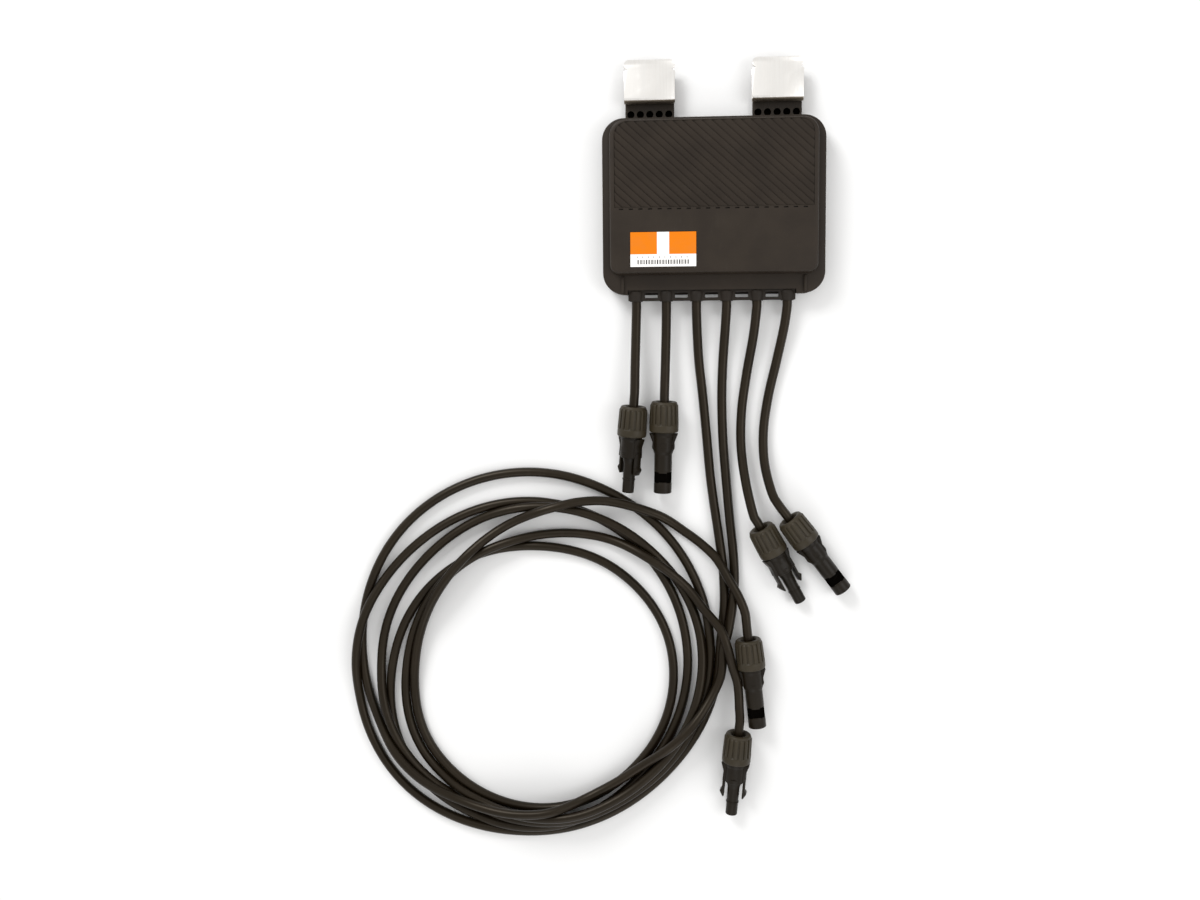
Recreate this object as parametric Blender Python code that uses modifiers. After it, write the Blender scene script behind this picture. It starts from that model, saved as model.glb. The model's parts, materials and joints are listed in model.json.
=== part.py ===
"""Two-module electronics box for solar panels: potted case, two frame clips and six plugged leads.

The box lies on its back. Origin: under the middle of the box and its clips, on the back face.
+X across the box, +Y towards the frame clips, +Z out of the front cover. All sizes in metres.
"""

import math

import bmesh
import bpy
from mathutils import Matrix, Vector

# Clearances
GAP = 0.0003
CUT_OVER = 0.001

# Rear casing
CASE_WIDTH = 0.1397
CASE_LENGTH = 0.1100
CASE_TOP_Y = 0.0394
CASE_RIM_Z = 0.0070
CASE_WALL = 0.0026
CASE_FLOOR = 0.0022
CASE_CORNER = 0.0137
CORNER_STEPS = 6

# Gasket between the two halves
GASKET_THICKNESS = 0.0010
GASKET_INSET = 0.0003

# Front cover
SHOULDER_Z = 0.0130
TOTAL_HEIGHT = 0.0229
COVER_WALL = 0.0020
RAISED_WIDTH = 0.1286
RAISED_TOP_INSET = 0.0015
RAISED_LENGTH = 0.0965
RAISED_CORNER = 0.0080
EDGE_ROUND = 0.0010
SHELF_WIDTH = 0.1136
SHELF_DEPTH = 0.0008
SHELF_LENGTH = 0.0110

# Diagonal grooves in the front face
GROOVE_FIELD_WIDTH = 0.1230
GROOVE_FIELD_LENGTH = 0.0527
GROOVE_FIELD_INSET = 0.0025
GROOVE_PITCH = 0.0070
GROOVE_WIDTH = 0.0011
GROOVE_DEPTH = 0.0007
GROOVE_ANGLE = math.radians(44)

# Label
LABEL_WIDTH = 0.0410
LABEL_LENGTH = 0.0214
LABEL_THICKNESS = 0.0003
LABEL_X = -0.0314
LABEL_Y = -0.0429

# Fasteners through the two halves
BOSS_X = 0.0570
BOSS_RISE_Y = 0.0300
BOSS_DROP_Y = -0.0510
BOSS_RADIUS = 0.0034
SCREW_SHAFT_RADIUS = 0.00145
SCREW_HEAD_RADIUS = 0.0028
SCREW_HEAD_HEIGHT = 0.0013
SCREW_RECESS = 0.0002
SCREW_LENGTH = 0.0150

# Cable comb
COMB_OFFSET_X = -0.0012
COMB_WIDTH = 0.1056
COMB_OUTER_Y = -0.0746
COMB_SHOULDER_Y = -0.0681
COMB_INNER_Y = -0.0625
COMB_LOW_Z = 0.0029
COMB_RAIL_LOW_Z = 0.0045
COMB_RAIL_HIGH_Z = 0.0107
LEAD_COUNT = 6
LEAD_PITCH = 0.0191
LEAD_AXIS_Z = 0.00765
BOOT_RADIUS = 0.0045
BOOT_SHOW = 0.0004
WINDOW_WIDTH = 0.0085
WINDOW_LENGTH = 0.0028
WINDOW_Y = -0.0706

# Leads
CABLE_RADIUS = 0.0030
CABLE_SPACING = 0.0150
LEAD_START_Y = -0.0503
LEAD_STRAIGHT = 0.0040

# Circuit board and what stands on it
BOARD_WIDTH = 0.1060
BOARD_LENGTH = 0.0780
BOARD_THICKNESS = 0.0016
BOARD_LOW_Z = 0.0060
BOARD_Y = -0.0110
POST_X = 0.0490
POST_RISE_Y = 0.0240
POST_DROP_Y = -0.0450
POST_RADIUS = 0.0025
SPREADER_WIDTH = 0.0880
SPREADER_LENGTH = 0.0620
SPREADER_THICKNESS = 0.0025
TERMINAL_LENGTH = 0.0075
TERMINAL_HEIGHT = 0.0048
TERMINAL_WIDTH = 0.0280
SWITCH_X = 0.0340
TOROID_RADIUS = 0.0080
TOROID_SECTION = 0.0032
CAPACITOR_X = 0.0120
CHIP_SIZE = 0.0100

# Frame clips and the tongues that carry them
CLIP_X = 0.0400
CLIP_WIDTH = 0.0318
CLIP_THICKNESS = 0.0009
CLIP_MOUTH = 0.0050
CLIP_TIP_Y = 0.0750
CLIP_BEND_Y = 0.0487
CLIP_LIP = 0.0025
CLIP_LIP_RISE = 0.0009
CLIP_CORNER = 0.0030
BARB_DEPTH = 0.0014
BARB_Y = 0.0686
BACK_LEAF_END_Y = 0.0690
TONGUE_WIDTH = 0.0308
TONGUE_THICKNESS = 0.0035
TONGUE_END_Y = 0.0660
TONGUE_HOLES = 5
TONGUE_HOLE_RADIUS = 0.0023
TONGUE_HOLE_PITCH = 0.0060
TONGUE_HOLE_Y = 0.0428
CLIP_SCREW_Y = 0.0590
CLIP_SCREW_HEAD_RADIUS = 0.0025
CLIP_SCREW_SHAFT_RADIUS = 0.0012

# Plug couplers, measured along the axis from the nut's rear face
NUT_LENGTH = 0.0196
NUT_FRONT_RADIUS = 0.0095
NUT_REAR_RADIUS = 0.0089
NUT_MOUTH_RADIUS = 0.0046
NUT_THROAT_RADIUS = 0.0036
NUT_THROAT_DEPTH = 0.0060
SPIGOT_RADIUS = 0.0062
SPIGOT_START = 0.0080
THREAD_CLEARANCE = 0.0004
COLLAR_RADIUS = 0.0070
EAR_REACH = 0.0093
EAR_START = 0.0203
FEMALE_BODY_RADIUS = 0.0066
FEMALE_BODY_END = 0.0334
PROBE_RADIUS = 0.00385
PROBE_END = 0.0565
PROBE_BORE_RADIUS = 0.0026
PROBE_BORE_DEPTH = 0.0165
SOCKET_WALL = 0.0010
ARM_INNER = 0.0059
ARM_THICKNESS = 0.0016
ARM_WIDTH = 0.0050
ARM_START = 0.0300
ARM_END = 0.0445
ARM_PIVOT = 0.0310
ARM_HOOK = 0.0013
MALE_SHOULDER = 0.0325
BARREL_RADIUS = 0.0057
BARREL_END = 0.0595
BARREL_BORE_RADIUS = 0.0043
BARREL_BORE_DEPTH = 0.0235
BARREL_WINDOW_START = 0.0460
BARREL_WINDOW_END = 0.0520
BARREL_WINDOW_WIDTH = 0.0092
RIM_RADIUS = 0.00585
PIN_RADIUS = 0.0016
PIN_RECESS = 0.0030
FLOOR_CLEARANCE = 0.0001

# Where each coupler lies: kind, rear point, heading of its nose, dip of its nose, roll about its axis
COUPLERS = (
    ("female", (-0.0510, -0.1415), (-0.0043, -0.0563), 4.0, 42.0),
    ("male", (-0.0313, -0.1386), (-0.0015, -0.0596), 3.0, 0.0),
    ("male", (0.0224, -0.2934), (0.0067, -0.0614), 2.0, 0.0),
    ("female", (0.0164, -0.3562), (-0.0045, -0.0549), 5.0, 8.0),
    ("female", (0.0300, -0.2199), (0.0235, -0.0438), 7.5, -20.0),
    ("male", (0.0483, -0.2142), (0.0340, -0.0453), 5.0, 0.0),
)

# Coil of the two long leads
COIL_CENTRE = (-0.1157, -0.3046)
COIL_INNER_RADIUS = 0.0680
COIL_OUTER_RADIUS = 0.1190
COIL_BULGE = 0.0096
COIL_TIGHT_ANGLE = math.radians(60)
COIL_HEIGHT = 0.0155
COIL_CHAMFER = 0.0030
COIL_SEGMENTS = 48

# Hand-laid route points of each lead between its boot and its coupler or the coil
ROUTE_1 = ((-0.0494, -0.0960, 0.0083), (-0.0500, -0.1180, 0.0102))
ROUTE_2 = ((-0.0301, -0.0960, 0.0081), (-0.0307, -0.1180, 0.0098))
ROUTE_3 = (
    (-0.0104, -0.0920, 0.0056),
    (-0.0092, -0.1130, 0.0033),
    (-0.0068, -0.1350, 0.0031),
    (-0.0045, -0.1590, 0.0031),
    (-0.0022, -0.1850, 0.0031),
    (0.0002, -0.2040, 0.0031),
    (0.0026, -0.2200, 0.0031),
    (0.0050, -0.2370, 0.0031),
    (0.0064, -0.2490, 0.0031),
    (0.0069, -0.2573, 0.0031),
)
ROUTE_4 = (
    (0.0076, -0.0920, 0.0056),
    (0.0062, -0.1130, 0.0033),
    (0.0055, -0.1360, 0.0031),
    (0.0062, -0.1630, 0.0031),
    (0.0083, -0.1900, 0.0031),
    (0.0106, -0.2150, 0.0031),
    (0.0129, -0.2370, 0.0031),
    (0.0137, -0.2490, 0.0031),
    (0.0138, -0.2573, 0.0031),
)
ROUTE_5 = (
    (0.0255, -0.0970, 0.0056),
    (0.0214, -0.1210, 0.0034),
    (0.0182, -0.1450, 0.0032),
    (0.0178, -0.1680, 0.0052),
    (0.0205, -0.1900, 0.0104),
)
ROUTE_6 = (
    (0.0448, -0.0920, 0.0060),
    (0.0402, -0.1140, 0.0036),
    (0.0352, -0.1360, 0.0032),
    (0.0322, -0.1580, 0.0036),
    (0.0328, -0.1790, 0.0066),
    (0.0375, -0.1980, 0.0104),
)
TAIL_3 = (
    (-0.0190, -0.2238, 0.0106),
    (-0.0070, -0.2325, 0.0102),
    (0.0025, -0.2415, 0.0099),
    (0.0095, -0.2535, 0.0099),
    (0.0145, -0.2670, 0.0100),
)
TAIL_4 = (
    (0.0114, -0.3065, 0.0150),
    (0.0126, -0.3126, 0.0155),
    (0.0154, -0.3216, 0.0152),
    (0.0165, -0.3309, 0.0140),
    (0.0168, -0.3402, 0.0127),
)
# Short stretches of cable moulded in one with the coil's solid, each ending where a tube begins
STUB_3 = (
    (-0.0040, -0.3060, 0.0033),
    (0.0057, -0.2870, 0.0033),
    (0.0074, -0.2720, 0.0032),
    (0.0069, -0.2580, 0.0031),
)
STUB_4 = (
    (-0.0030, -0.3030, 0.0062),
    (0.0092, -0.2850, 0.0046),
    (0.0130, -0.2715, 0.0034),
    (0.0138, -0.2580, 0.0031),
)
STUB_TAIL_3 = ((-0.0580, -0.2040, 0.0106), (-0.0360, -0.2133, 0.0106), (-0.0195, -0.2234, 0.0106))
STUB_TAIL_4 = ((-0.0050, -0.2780, 0.0110), (0.0080, -0.2945, 0.0140), (0.0112, -0.3058, 0.0150))

FINISHES = {
    "case_plastic": ((0.042, 0.038, 0.034, 1.0), 0.55, 0.0),
    "cover_plastic": ((0.048, 0.043, 0.038, 1.0), 0.50, 0.0),
    "seal_rubber": ((0.020, 0.020, 0.020, 1.0), 0.80, 0.0),
    "label_film": ((0.900, 0.300, 0.020, 1.0), 0.40, 0.0),
    "comb_rubber": ((0.030, 0.027, 0.024, 1.0), 0.65, 0.0),
    "cable_jacket": ((0.030, 0.024, 0.018, 1.0), 0.45, 0.0),
    "nut_plastic": ((0.060, 0.053, 0.042, 1.0), 0.50, 0.0),
    "coupler_plastic": ((0.035, 0.030, 0.025, 1.0), 0.45, 0.0),
    "spring_steel": ((0.800, 0.790, 0.760, 1.0), 0.25, 1.0),
    "screw_steel": ((0.550, 0.550, 0.550, 1.0), 0.30, 1.0),
    "tinned_copper": ((0.700, 0.680, 0.640, 1.0), 0.30, 1.0),
    "spreader_aluminium": ((0.750, 0.760, 0.770, 1.0), 0.40, 1.0),
    "board_laminate": ((0.020, 0.180, 0.070, 1.0), 0.45, 0.0),
    "package_epoxy": ((0.025, 0.025, 0.028, 1.0), 0.50, 0.0),
    "ferrite": ((0.120, 0.120, 0.125, 1.0), 0.70, 0.0),
    "capacitor_case": ((0.080, 0.160, 0.400, 1.0), 0.40, 0.0),
    "terminal_nylon": ((0.150, 0.300, 0.160, 1.0), 0.50, 0.0),
}


def clear_scene():
    """Remove every object, so that the model is built into an empty scene."""
    for thing in list(bpy.data.objects):
        bpy.data.objects.remove(thing, do_unlink=True)


def make_collection(name):
    """Add a collection to the scene."""
    collection = bpy.data.collections.new(name)
    bpy.context.scene.collection.children.link(collection)
    return collection


def make_materials():
    """One Principled material for each finish."""
    materials = {}
    for name, (colour, roughness, metallic) in FINISHES.items():
        material = bpy.data.materials.new(name)
        material.use_nodes = True
        shader = material.node_tree.nodes["Principled BSDF"]
        shader.inputs["Base Color"].default_value = colour
        shader.inputs["Roughness"].default_value = roughness
        shader.inputs["Metallic"].default_value = metallic
        material.diffuse_color = colour
        materials[name] = material
    return materials


clear_scene()
PARTS = make_collection("panel_electronics_box")
CUTTERS = make_collection("cutters")
MATERIALS = make_materials()


def add_object(name, data, finish=None):
    """Put mesh or curve data into the scene, as a part with a finish or else as a hidden cutter."""
    thing = bpy.data.objects.new(name, data)
    if finish is None:
        CUTTERS.objects.link(thing)
        thing.hide_render = True
        thing.display_type = "WIRE"
    else:
        PARTS.objects.link(thing)
        data.materials.append(MATERIALS[finish])
    return thing


def from_bmesh(name, bm, finish=None):
    """Turn a bmesh into an object."""
    bmesh.ops.recalc_face_normals(bm, faces=bm.faces[:])
    mesh = bpy.data.meshes.new(name)
    bm.to_mesh(mesh)
    bm.free()
    return add_object(name, mesh, finish)


def box(name, low, high, finish=None):
    """A box between two corners."""
    bm = bmesh.new()
    bmesh.ops.create_cube(bm, size=1.0)
    size = [b - a for a, b in zip(low, high)]
    middle = [(a + b) / 2 for a, b in zip(low, high)]
    bmesh.ops.scale(bm, vec=size, verts=bm.verts[:])
    bmesh.ops.translate(bm, vec=middle, verts=bm.verts[:])
    return from_bmesh(name, bm, finish)


def rods(name, places, radius, low_z, high_z, finish=None, segments=16):
    """Upright round rods of one radius at several places, in one mesh."""
    bm = bmesh.new()
    for x, y in places:
        bmesh.ops.create_cone(
            bm,
            cap_ends=True,
            segments=segments,
            radius1=radius,
            radius2=radius,
            depth=high_z - low_z,
            matrix=Matrix.Translation((x, y, (low_z + high_z) / 2)),
        )
    return from_bmesh(name, bm, finish)


def rods_along_y(name, places, radius, low_y, high_y, segments=16):
    """Round rods along Y, each through a given (x, z) place, in one mesh."""
    bm = bmesh.new()
    turn = Matrix.Rotation(math.pi / 2, 4, "X")
    for x, z in places:
        bmesh.ops.create_cone(
            bm,
            cap_ends=True,
            segments=segments,
            radius1=radius,
            radius2=radius,
            depth=high_y - low_y,
            matrix=Matrix.Translation((x, (low_y + high_y) / 2, z)) @ turn,
        )
    return from_bmesh(name, bm)


def rounded_outline(width, length, radius, centre_y, steps=CORNER_STEPS):
    """Corner points of a rectangle with round corners, anticlockwise."""
    points = []
    for quarter, (sx, sy) in enumerate(((1, 1), (-1, 1), (-1, -1), (1, -1))):
        corner_x = sx * (width / 2 - radius)
        corner_y = centre_y + sy * (length / 2 - radius)
        for step in range(steps + 1):
            angle = math.pi / 2 * (quarter + step / steps)
            points.append((corner_x + radius * math.cos(angle), corner_y + radius * math.sin(angle)))
    return points


def plates(name, outlines, low_z, high_z, finish=None):
    """Flat plates, each with its own outline, between two heights, from a filled 2D curve."""
    curve = bpy.data.curves.new(name, "CURVE")
    curve.dimensions = "2D"
    curve.fill_mode = "BOTH"
    curve.extrude = (high_z - low_z) / 2
    for outline in outlines:
        spline = curve.splines.new("POLY")
        spline.points.add(len(outline) - 1)
        for point, (x, y) in zip(spline.points, outline):
            point.co = (x, y, 0.0, 1.0)
        spline.use_cyclic_u = True
    return curve_to_mesh(name, curve, Matrix.Translation((0, 0, (low_z + high_z) / 2)), finish)


def curve_to_mesh(name, curve, place, finish=None):
    """Evaluate a curve, weld its caps and leave a plain mesh object."""
    guide = bpy.data.objects.new(name + "_curve", curve)
    bpy.context.scene.collection.objects.link(guide)
    bpy.context.view_layer.update()
    evaluated = guide.evaluated_get(bpy.context.evaluated_depsgraph_get())
    mesh = bpy.data.meshes.new_from_object(evaluated)
    bpy.data.objects.remove(guide, do_unlink=True)
    bm = bmesh.new()
    bm.from_mesh(mesh)
    bpy.data.meshes.remove(mesh)
    bmesh.ops.remove_doubles(bm, verts=bm.verts[:], dist=0.00001)
    bmesh.ops.transform(bm, matrix=place, verts=bm.verts[:])
    return from_bmesh(name, bm, finish)


def prism(name, width, length, radius, centre_y, low_z, high_z, finish=None):
    """A block with round corners."""
    return plates(name, [rounded_outline(width, length, radius, centre_y)], low_z, high_z, finish)


def turned(name, profile, finish=None, steps=20):
    """A turned piece: its (radius, height) profile runs down the outer side, then up any bore."""
    mesh = bpy.data.meshes.new(name)
    edges = [(i, i + 1) for i in range(len(profile) - 1)]
    if profile[0][0] > 0:
        edges.append((len(profile) - 1, 0))
    mesh.from_pydata([(r, 0.0, z) for r, z in profile], edges, [])
    thing = add_object(name, mesh, finish)
    screw = thing.modifiers.new("turn", "SCREW")
    screw.axis = "Z"
    screw.steps = steps
    screw.render_steps = steps
    screw.use_merge_vertices = True
    screw.merge_threshold = 0.00001
    return thing


def boolean(thing, tool, operation):
    """Add, or take away, another shape."""
    modifier = thing.modifiers.new(tool.name, "BOOLEAN")
    modifier.operation = operation
    modifier.solver = "EXACT"
    modifier.object = tool


def cut(thing, *tools):
    """Take each tool's shape out of a part."""
    for tool in tools:
        boolean(thing, tool, "DIFFERENCE")


def join(thing, *tools):
    """Make each tool's shape part of a part."""
    for tool in tools:
        boolean(thing, tool, "UNION")


def soften(thing, width, segments=1):
    """Round a block's sharp rims."""
    bevel = thing.modifiers.new("soften", "BEVEL")
    bevel.width = width
    bevel.segments = segments
    bevel.limit_method = "ANGLE"
    bevel.angle_limit = math.radians(40)


def smooth_route(points, spacing=CABLE_SPACING):
    """Points at an even spacing along a smooth curve through a route's own points."""
    knots = [Vector(p) for p in points]
    ends = [2 * knots[0] - knots[1]] + knots + [2 * knots[-1] - knots[-2]]
    fine = []
    for before, start, stop, after in zip(ends, ends[1:], ends[2:], ends[3:]):
        for step in range(16):
            t = step / 16
            fine.append(
                0.5
                * (
                    2 * start
                    + (stop - before) * t
                    + (2 * before - 5 * start + 4 * stop - after) * t**2
                    + (3 * start - before - 3 * stop + after) * t**3
                )
            )
    fine.append(knots[-1])
    travelled = [0.0]
    for a, b in zip(fine, fine[1:]):
        travelled.append(travelled[-1] + (b - a).length)
    count = max(2, math.ceil(travelled[-1] / spacing))
    even = []
    index = 0
    for step in range(count + 1):
        wanted = travelled[-1] * step / count
        while index < len(fine) - 2 and travelled[index + 1] < wanted:
            index += 1
        share = (wanted - travelled[index]) / (travelled[index + 1] - travelled[index])
        even.append(fine[index].lerp(fine[index + 1], share))
    return even


def tube_curve(name, points):
    """A round cable along a route, with filled caps."""
    curve = bpy.data.curves.new(name, "CURVE")
    curve.dimensions = "3D"
    curve.bevel_depth = CABLE_RADIUS
    curve.bevel_resolution = 2
    curve.use_fill_caps = True
    spline = curve.splines.new("POLY")
    spline.points.add(len(points) - 1)
    for point, place in zip(spline.points, points):
        point.co = (*place, 1.0)
    return curve


def cable(name, route):
    """One stretch of lead as a tube."""
    return add_object(name, tube_curve(name, smooth_route(route)), "cable_jacket")


def lead_x(number):
    """The place across the box of a lead, numbered from the left."""
    return COMB_OFFSET_X + (number - 1 - (LEAD_COUNT - 1) / 2) * LEAD_PITCH


def case_centre_y():
    """The middle of the case along Y."""
    return CASE_TOP_Y - CASE_LENGTH / 2


def raised_centre_y():
    """The middle of the cover's raised part along Y."""
    return CASE_TOP_Y - RAISED_TOP_INSET - RAISED_LENGTH / 2


def fastener_places():
    """Where the four case screws stand."""
    return [(sx * BOSS_X, y) for sx in (-1, 1) for y in (BOSS_RISE_Y, BOSS_DROP_Y)]


def comb_notch(name, inner_y, low_z, high_z):
    """The gap in a bottom wall that the cable comb sits in."""
    half = COMB_WIDTH / 2 + GAP
    return box(
        name,
        (COMB_OFFSET_X - half, case_centre_y() - CASE_LENGTH / 2 - CUT_OVER, low_z),
        (COMB_OFFSET_X + half, inner_y, high_z),
    )


def make_rear_casing():
    """The tray that lies against the panel's frame, with the two tongues for the clips."""
    centre = case_centre_y()
    casing = prism(
        "rear_casing", CASE_WIDTH, CASE_LENGTH, CASE_CORNER, centre, 0.0, CASE_RIM_Z, "case_plastic"
    )
    hollow = prism(
        "casing_hollow",
        CASE_WIDTH - 2 * CASE_WALL,
        CASE_LENGTH - 2 * CASE_WALL,
        CASE_CORNER - CASE_WALL,
        centre,
        CASE_FLOOR,
        CASE_RIM_Z + CUT_OVER,
    )
    bosses = rods("casing_bosses", fastener_places(), BOSS_RADIUS, CASE_FLOOR / 2, CASE_RIM_Z)
    posts = rods(
        "board_posts",
        [(sx * POST_X, y) for sx in (-1, 1) for y in (POST_RISE_Y, POST_DROP_Y)],
        POST_RADIUS,
        CASE_FLOOR / 2,
        BOARD_LOW_Z - GAP,
        segments=12,
    )
    above = CASE_RIM_Z + CUT_OVER
    notch = comb_notch("casing_notch", COMB_SHOULDER_Y + CASE_WALL / 2, COMB_LOW_Z - GAP, above)
    shafts = rods("casing_shaft_holes", fastener_places(), SCREW_SHAFT_RADIUS + GAP, -CUT_OVER, above)
    heads = rods(
        "casing_head_holes",
        fastener_places(),
        SCREW_HEAD_RADIUS + GAP,
        -CUT_OVER,
        SCREW_RECESS + SCREW_HEAD_HEIGHT + GAP,
    )
    cut(casing, hollow)
    join(casing, bosses, posts)
    for side in (-1, 1):
        join(casing, make_tongue(side))
    cut(casing, notch, shafts, heads)
    for side in (-1, 1):
        cut(casing, *tongue_holes(side))
    return casing


def make_tongue(side):
    """The flat tongue that carries one clip."""
    half = TONGUE_WIDTH / 2
    return box(
        f"tongue_{side}",
        (side * CLIP_X - half, CASE_TOP_Y - CASE_WALL / 2, 0.0),
        (side * CLIP_X + half, TONGUE_END_Y, TONGUE_THICKNESS),
    )


def tongue_holes(side):
    """The row of round holes at a tongue's root, and the stepped hole for its clip screw."""
    first = side * CLIP_X - (TONGUE_HOLES - 1) / 2 * TONGUE_HOLE_PITCH
    row = [(first + i * TONGUE_HOLE_PITCH, TONGUE_HOLE_Y) for i in range(TONGUE_HOLES)]
    place = [(side * CLIP_X, CLIP_SCREW_Y)]
    head_depth = SCREW_RECESS + SCREW_HEAD_HEIGHT + GAP
    high = TONGUE_THICKNESS + CUT_OVER
    return (
        rods(f"tongue_row_{side}", row, TONGUE_HOLE_RADIUS, -CUT_OVER, high, segments=12),
        rods(f"tongue_shaft_{side}", place, CLIP_SCREW_SHAFT_RADIUS + GAP, -CUT_OVER, high, segments=12),
        rods(f"tongue_head_{side}", place, CLIP_SCREW_HEAD_RADIUS + GAP, -CUT_OVER, head_depth),
    )


def make_gasket():
    """The flat seal between the two rims, open at the cable comb."""
    low = CASE_RIM_Z + GAP
    width = CASE_WIDTH - 2 * GASKET_INSET
    length = CASE_LENGTH - 2 * GASKET_INSET
    radius = CASE_CORNER - GASKET_INSET
    high = low + GASKET_THICKNESS
    seal = prism("case_gasket", width, length, radius, case_centre_y(), low, high, "seal_rubber")
    inside = 2 * (CASE_WALL - 2 * GASKET_INSET)
    hollow = prism(
        "gasket_hollow",
        width - inside,
        length - inside,
        radius - inside / 2,
        case_centre_y(),
        0.0,
        SHOULDER_Z,
    )
    cut(seal, hollow, comb_notch("gasket_notch", COMB_INNER_Y, 0.0, SHOULDER_Z))


def cover_base_z():
    """The height of the cover's rim."""
    return CASE_RIM_Z + GASKET_THICKNESS + 2 * GAP


def make_front_cover():
    """The stepped front shell with its groove field, shelf, label recess and screw bosses."""
    base = cover_base_z()
    centre = case_centre_y()
    cover = prism(
        "front_cover", CASE_WIDTH, CASE_LENGTH, CASE_CORNER, centre, base, SHOULDER_Z, "cover_plastic"
    )
    soften(cover, EDGE_ROUND / 2)
    raised = prism(
        "cover_raised",
        RAISED_WIDTH,
        RAISED_LENGTH,
        RAISED_CORNER,
        raised_centre_y(),
        SHOULDER_Z - COVER_WALL / 2,
        TOTAL_HEIGHT,
    )
    soften(raised, EDGE_ROUND, 2)
    lower_hollow = prism(
        "cover_lower_hollow",
        CASE_WIDTH - 2 * CASE_WALL,
        CASE_LENGTH - 2 * CASE_WALL,
        CASE_CORNER - CASE_WALL,
        centre,
        base - CUT_OVER,
        SHOULDER_Z - COVER_WALL,
    )
    upper_hollow = prism(
        "cover_upper_hollow",
        RAISED_WIDTH - 2 * COVER_WALL,
        RAISED_LENGTH - 2 * COVER_WALL,
        RAISED_CORNER - COVER_WALL,
        raised_centre_y(),
        base,
        TOTAL_HEIGHT - COVER_WALL,
    )
    bosses = rods("cover_bosses", fastener_places(), BOSS_RADIUS, base, TOTAL_HEIGHT - COVER_WALL / 2)
    pilot_top = SCREW_RECESS + SCREW_HEAD_HEIGHT + SCREW_LENGTH + CUT_OVER
    pilots = rods("cover_pilots", fastener_places(), SCREW_SHAFT_RADIUS + GAP, base - CUT_OVER, pilot_top)
    shelf_top_y = raised_centre_y() - RAISED_LENGTH / 2
    shelf = box(
        "shelf_recess",
        (-SHELF_WIDTH / 2, shelf_top_y - SHELF_LENGTH - 2 * CUT_OVER, SHOULDER_Z - SHELF_DEPTH),
        (SHELF_WIDTH / 2, shelf_top_y, SHOULDER_Z + CUT_OVER),
    )
    recess_depth = LABEL_THICKNESS + GAP
    recess = box(
        "label_recess",
        (LABEL_X - LABEL_WIDTH / 2 - GAP, LABEL_Y - LABEL_LENGTH / 2 - GAP, TOTAL_HEIGHT - recess_depth),
        (LABEL_X + LABEL_WIDTH / 2 + GAP, LABEL_Y + LABEL_LENGTH / 2 + GAP, TOTAL_HEIGHT + CUT_OVER),
    )
    notch = comb_notch("cover_notch", COMB_SHOULDER_Y + GAP, base - CUT_OVER, SHOULDER_Z + CUT_OVER)
    join(cover, raised)
    cut(cover, lower_hollow, upper_hollow)
    join(cover, bosses)
    cut(cover, pilots, notch, shelf, recess, make_grooves())


def clipped(outline, limit, keep_right):
    """The part of a convex outline on one side of an upright line."""
    kept = []
    for (ax, ay), (bx, by) in zip(outline, outline[1:] + outline[:1]):
        a_in = ax >= limit if keep_right else ax <= limit
        b_in = bx >= limit if keep_right else bx <= limit
        if a_in:
            kept.append((ax, ay))
        if a_in != b_in:
            kept.append((limit, ay + (by - ay) * (limit - ax) / (bx - ax)))
    return kept


def make_grooves():
    """A cutter of slanted bars over the upper part of the front face."""
    top = raised_centre_y() + RAISED_LENGTH / 2 - GROOVE_FIELD_INSET
    bottom = top - GROOVE_FIELD_LENGTH
    run = GROOVE_FIELD_LENGTH / math.tan(GROOVE_ANGLE)
    half = GROOVE_FIELD_WIDTH / 2
    across = GROOVE_WIDTH / math.sin(GROOVE_ANGLE)
    outlines = []
    for index in range(math.ceil((2 * half + run) / GROOVE_PITCH)):
        start = -half - run + (index + 0.5) * GROOVE_PITCH
        bar = [(start, top), (start + run, bottom), (start + run + across, bottom), (start + across, top)]
        bar = clipped(clipped(bar, -half, True), half, False)
        if len(bar) > 2:
            outlines.append(bar)
    return plates("groove_bars", outlines, TOTAL_HEIGHT - GROOVE_DEPTH, TOTAL_HEIGHT + CUT_OVER)


def make_label():
    """The film label, sunk flush into its recess."""
    box(
        "rating_label",
        (LABEL_X - LABEL_WIDTH / 2, LABEL_Y - LABEL_LENGTH / 2, TOTAL_HEIGHT - LABEL_THICKNESS),
        (LABEL_X + LABEL_WIDTH / 2, LABEL_Y + LABEL_LENGTH / 2, TOTAL_HEIGHT),
        "label_film",
    )


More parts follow.
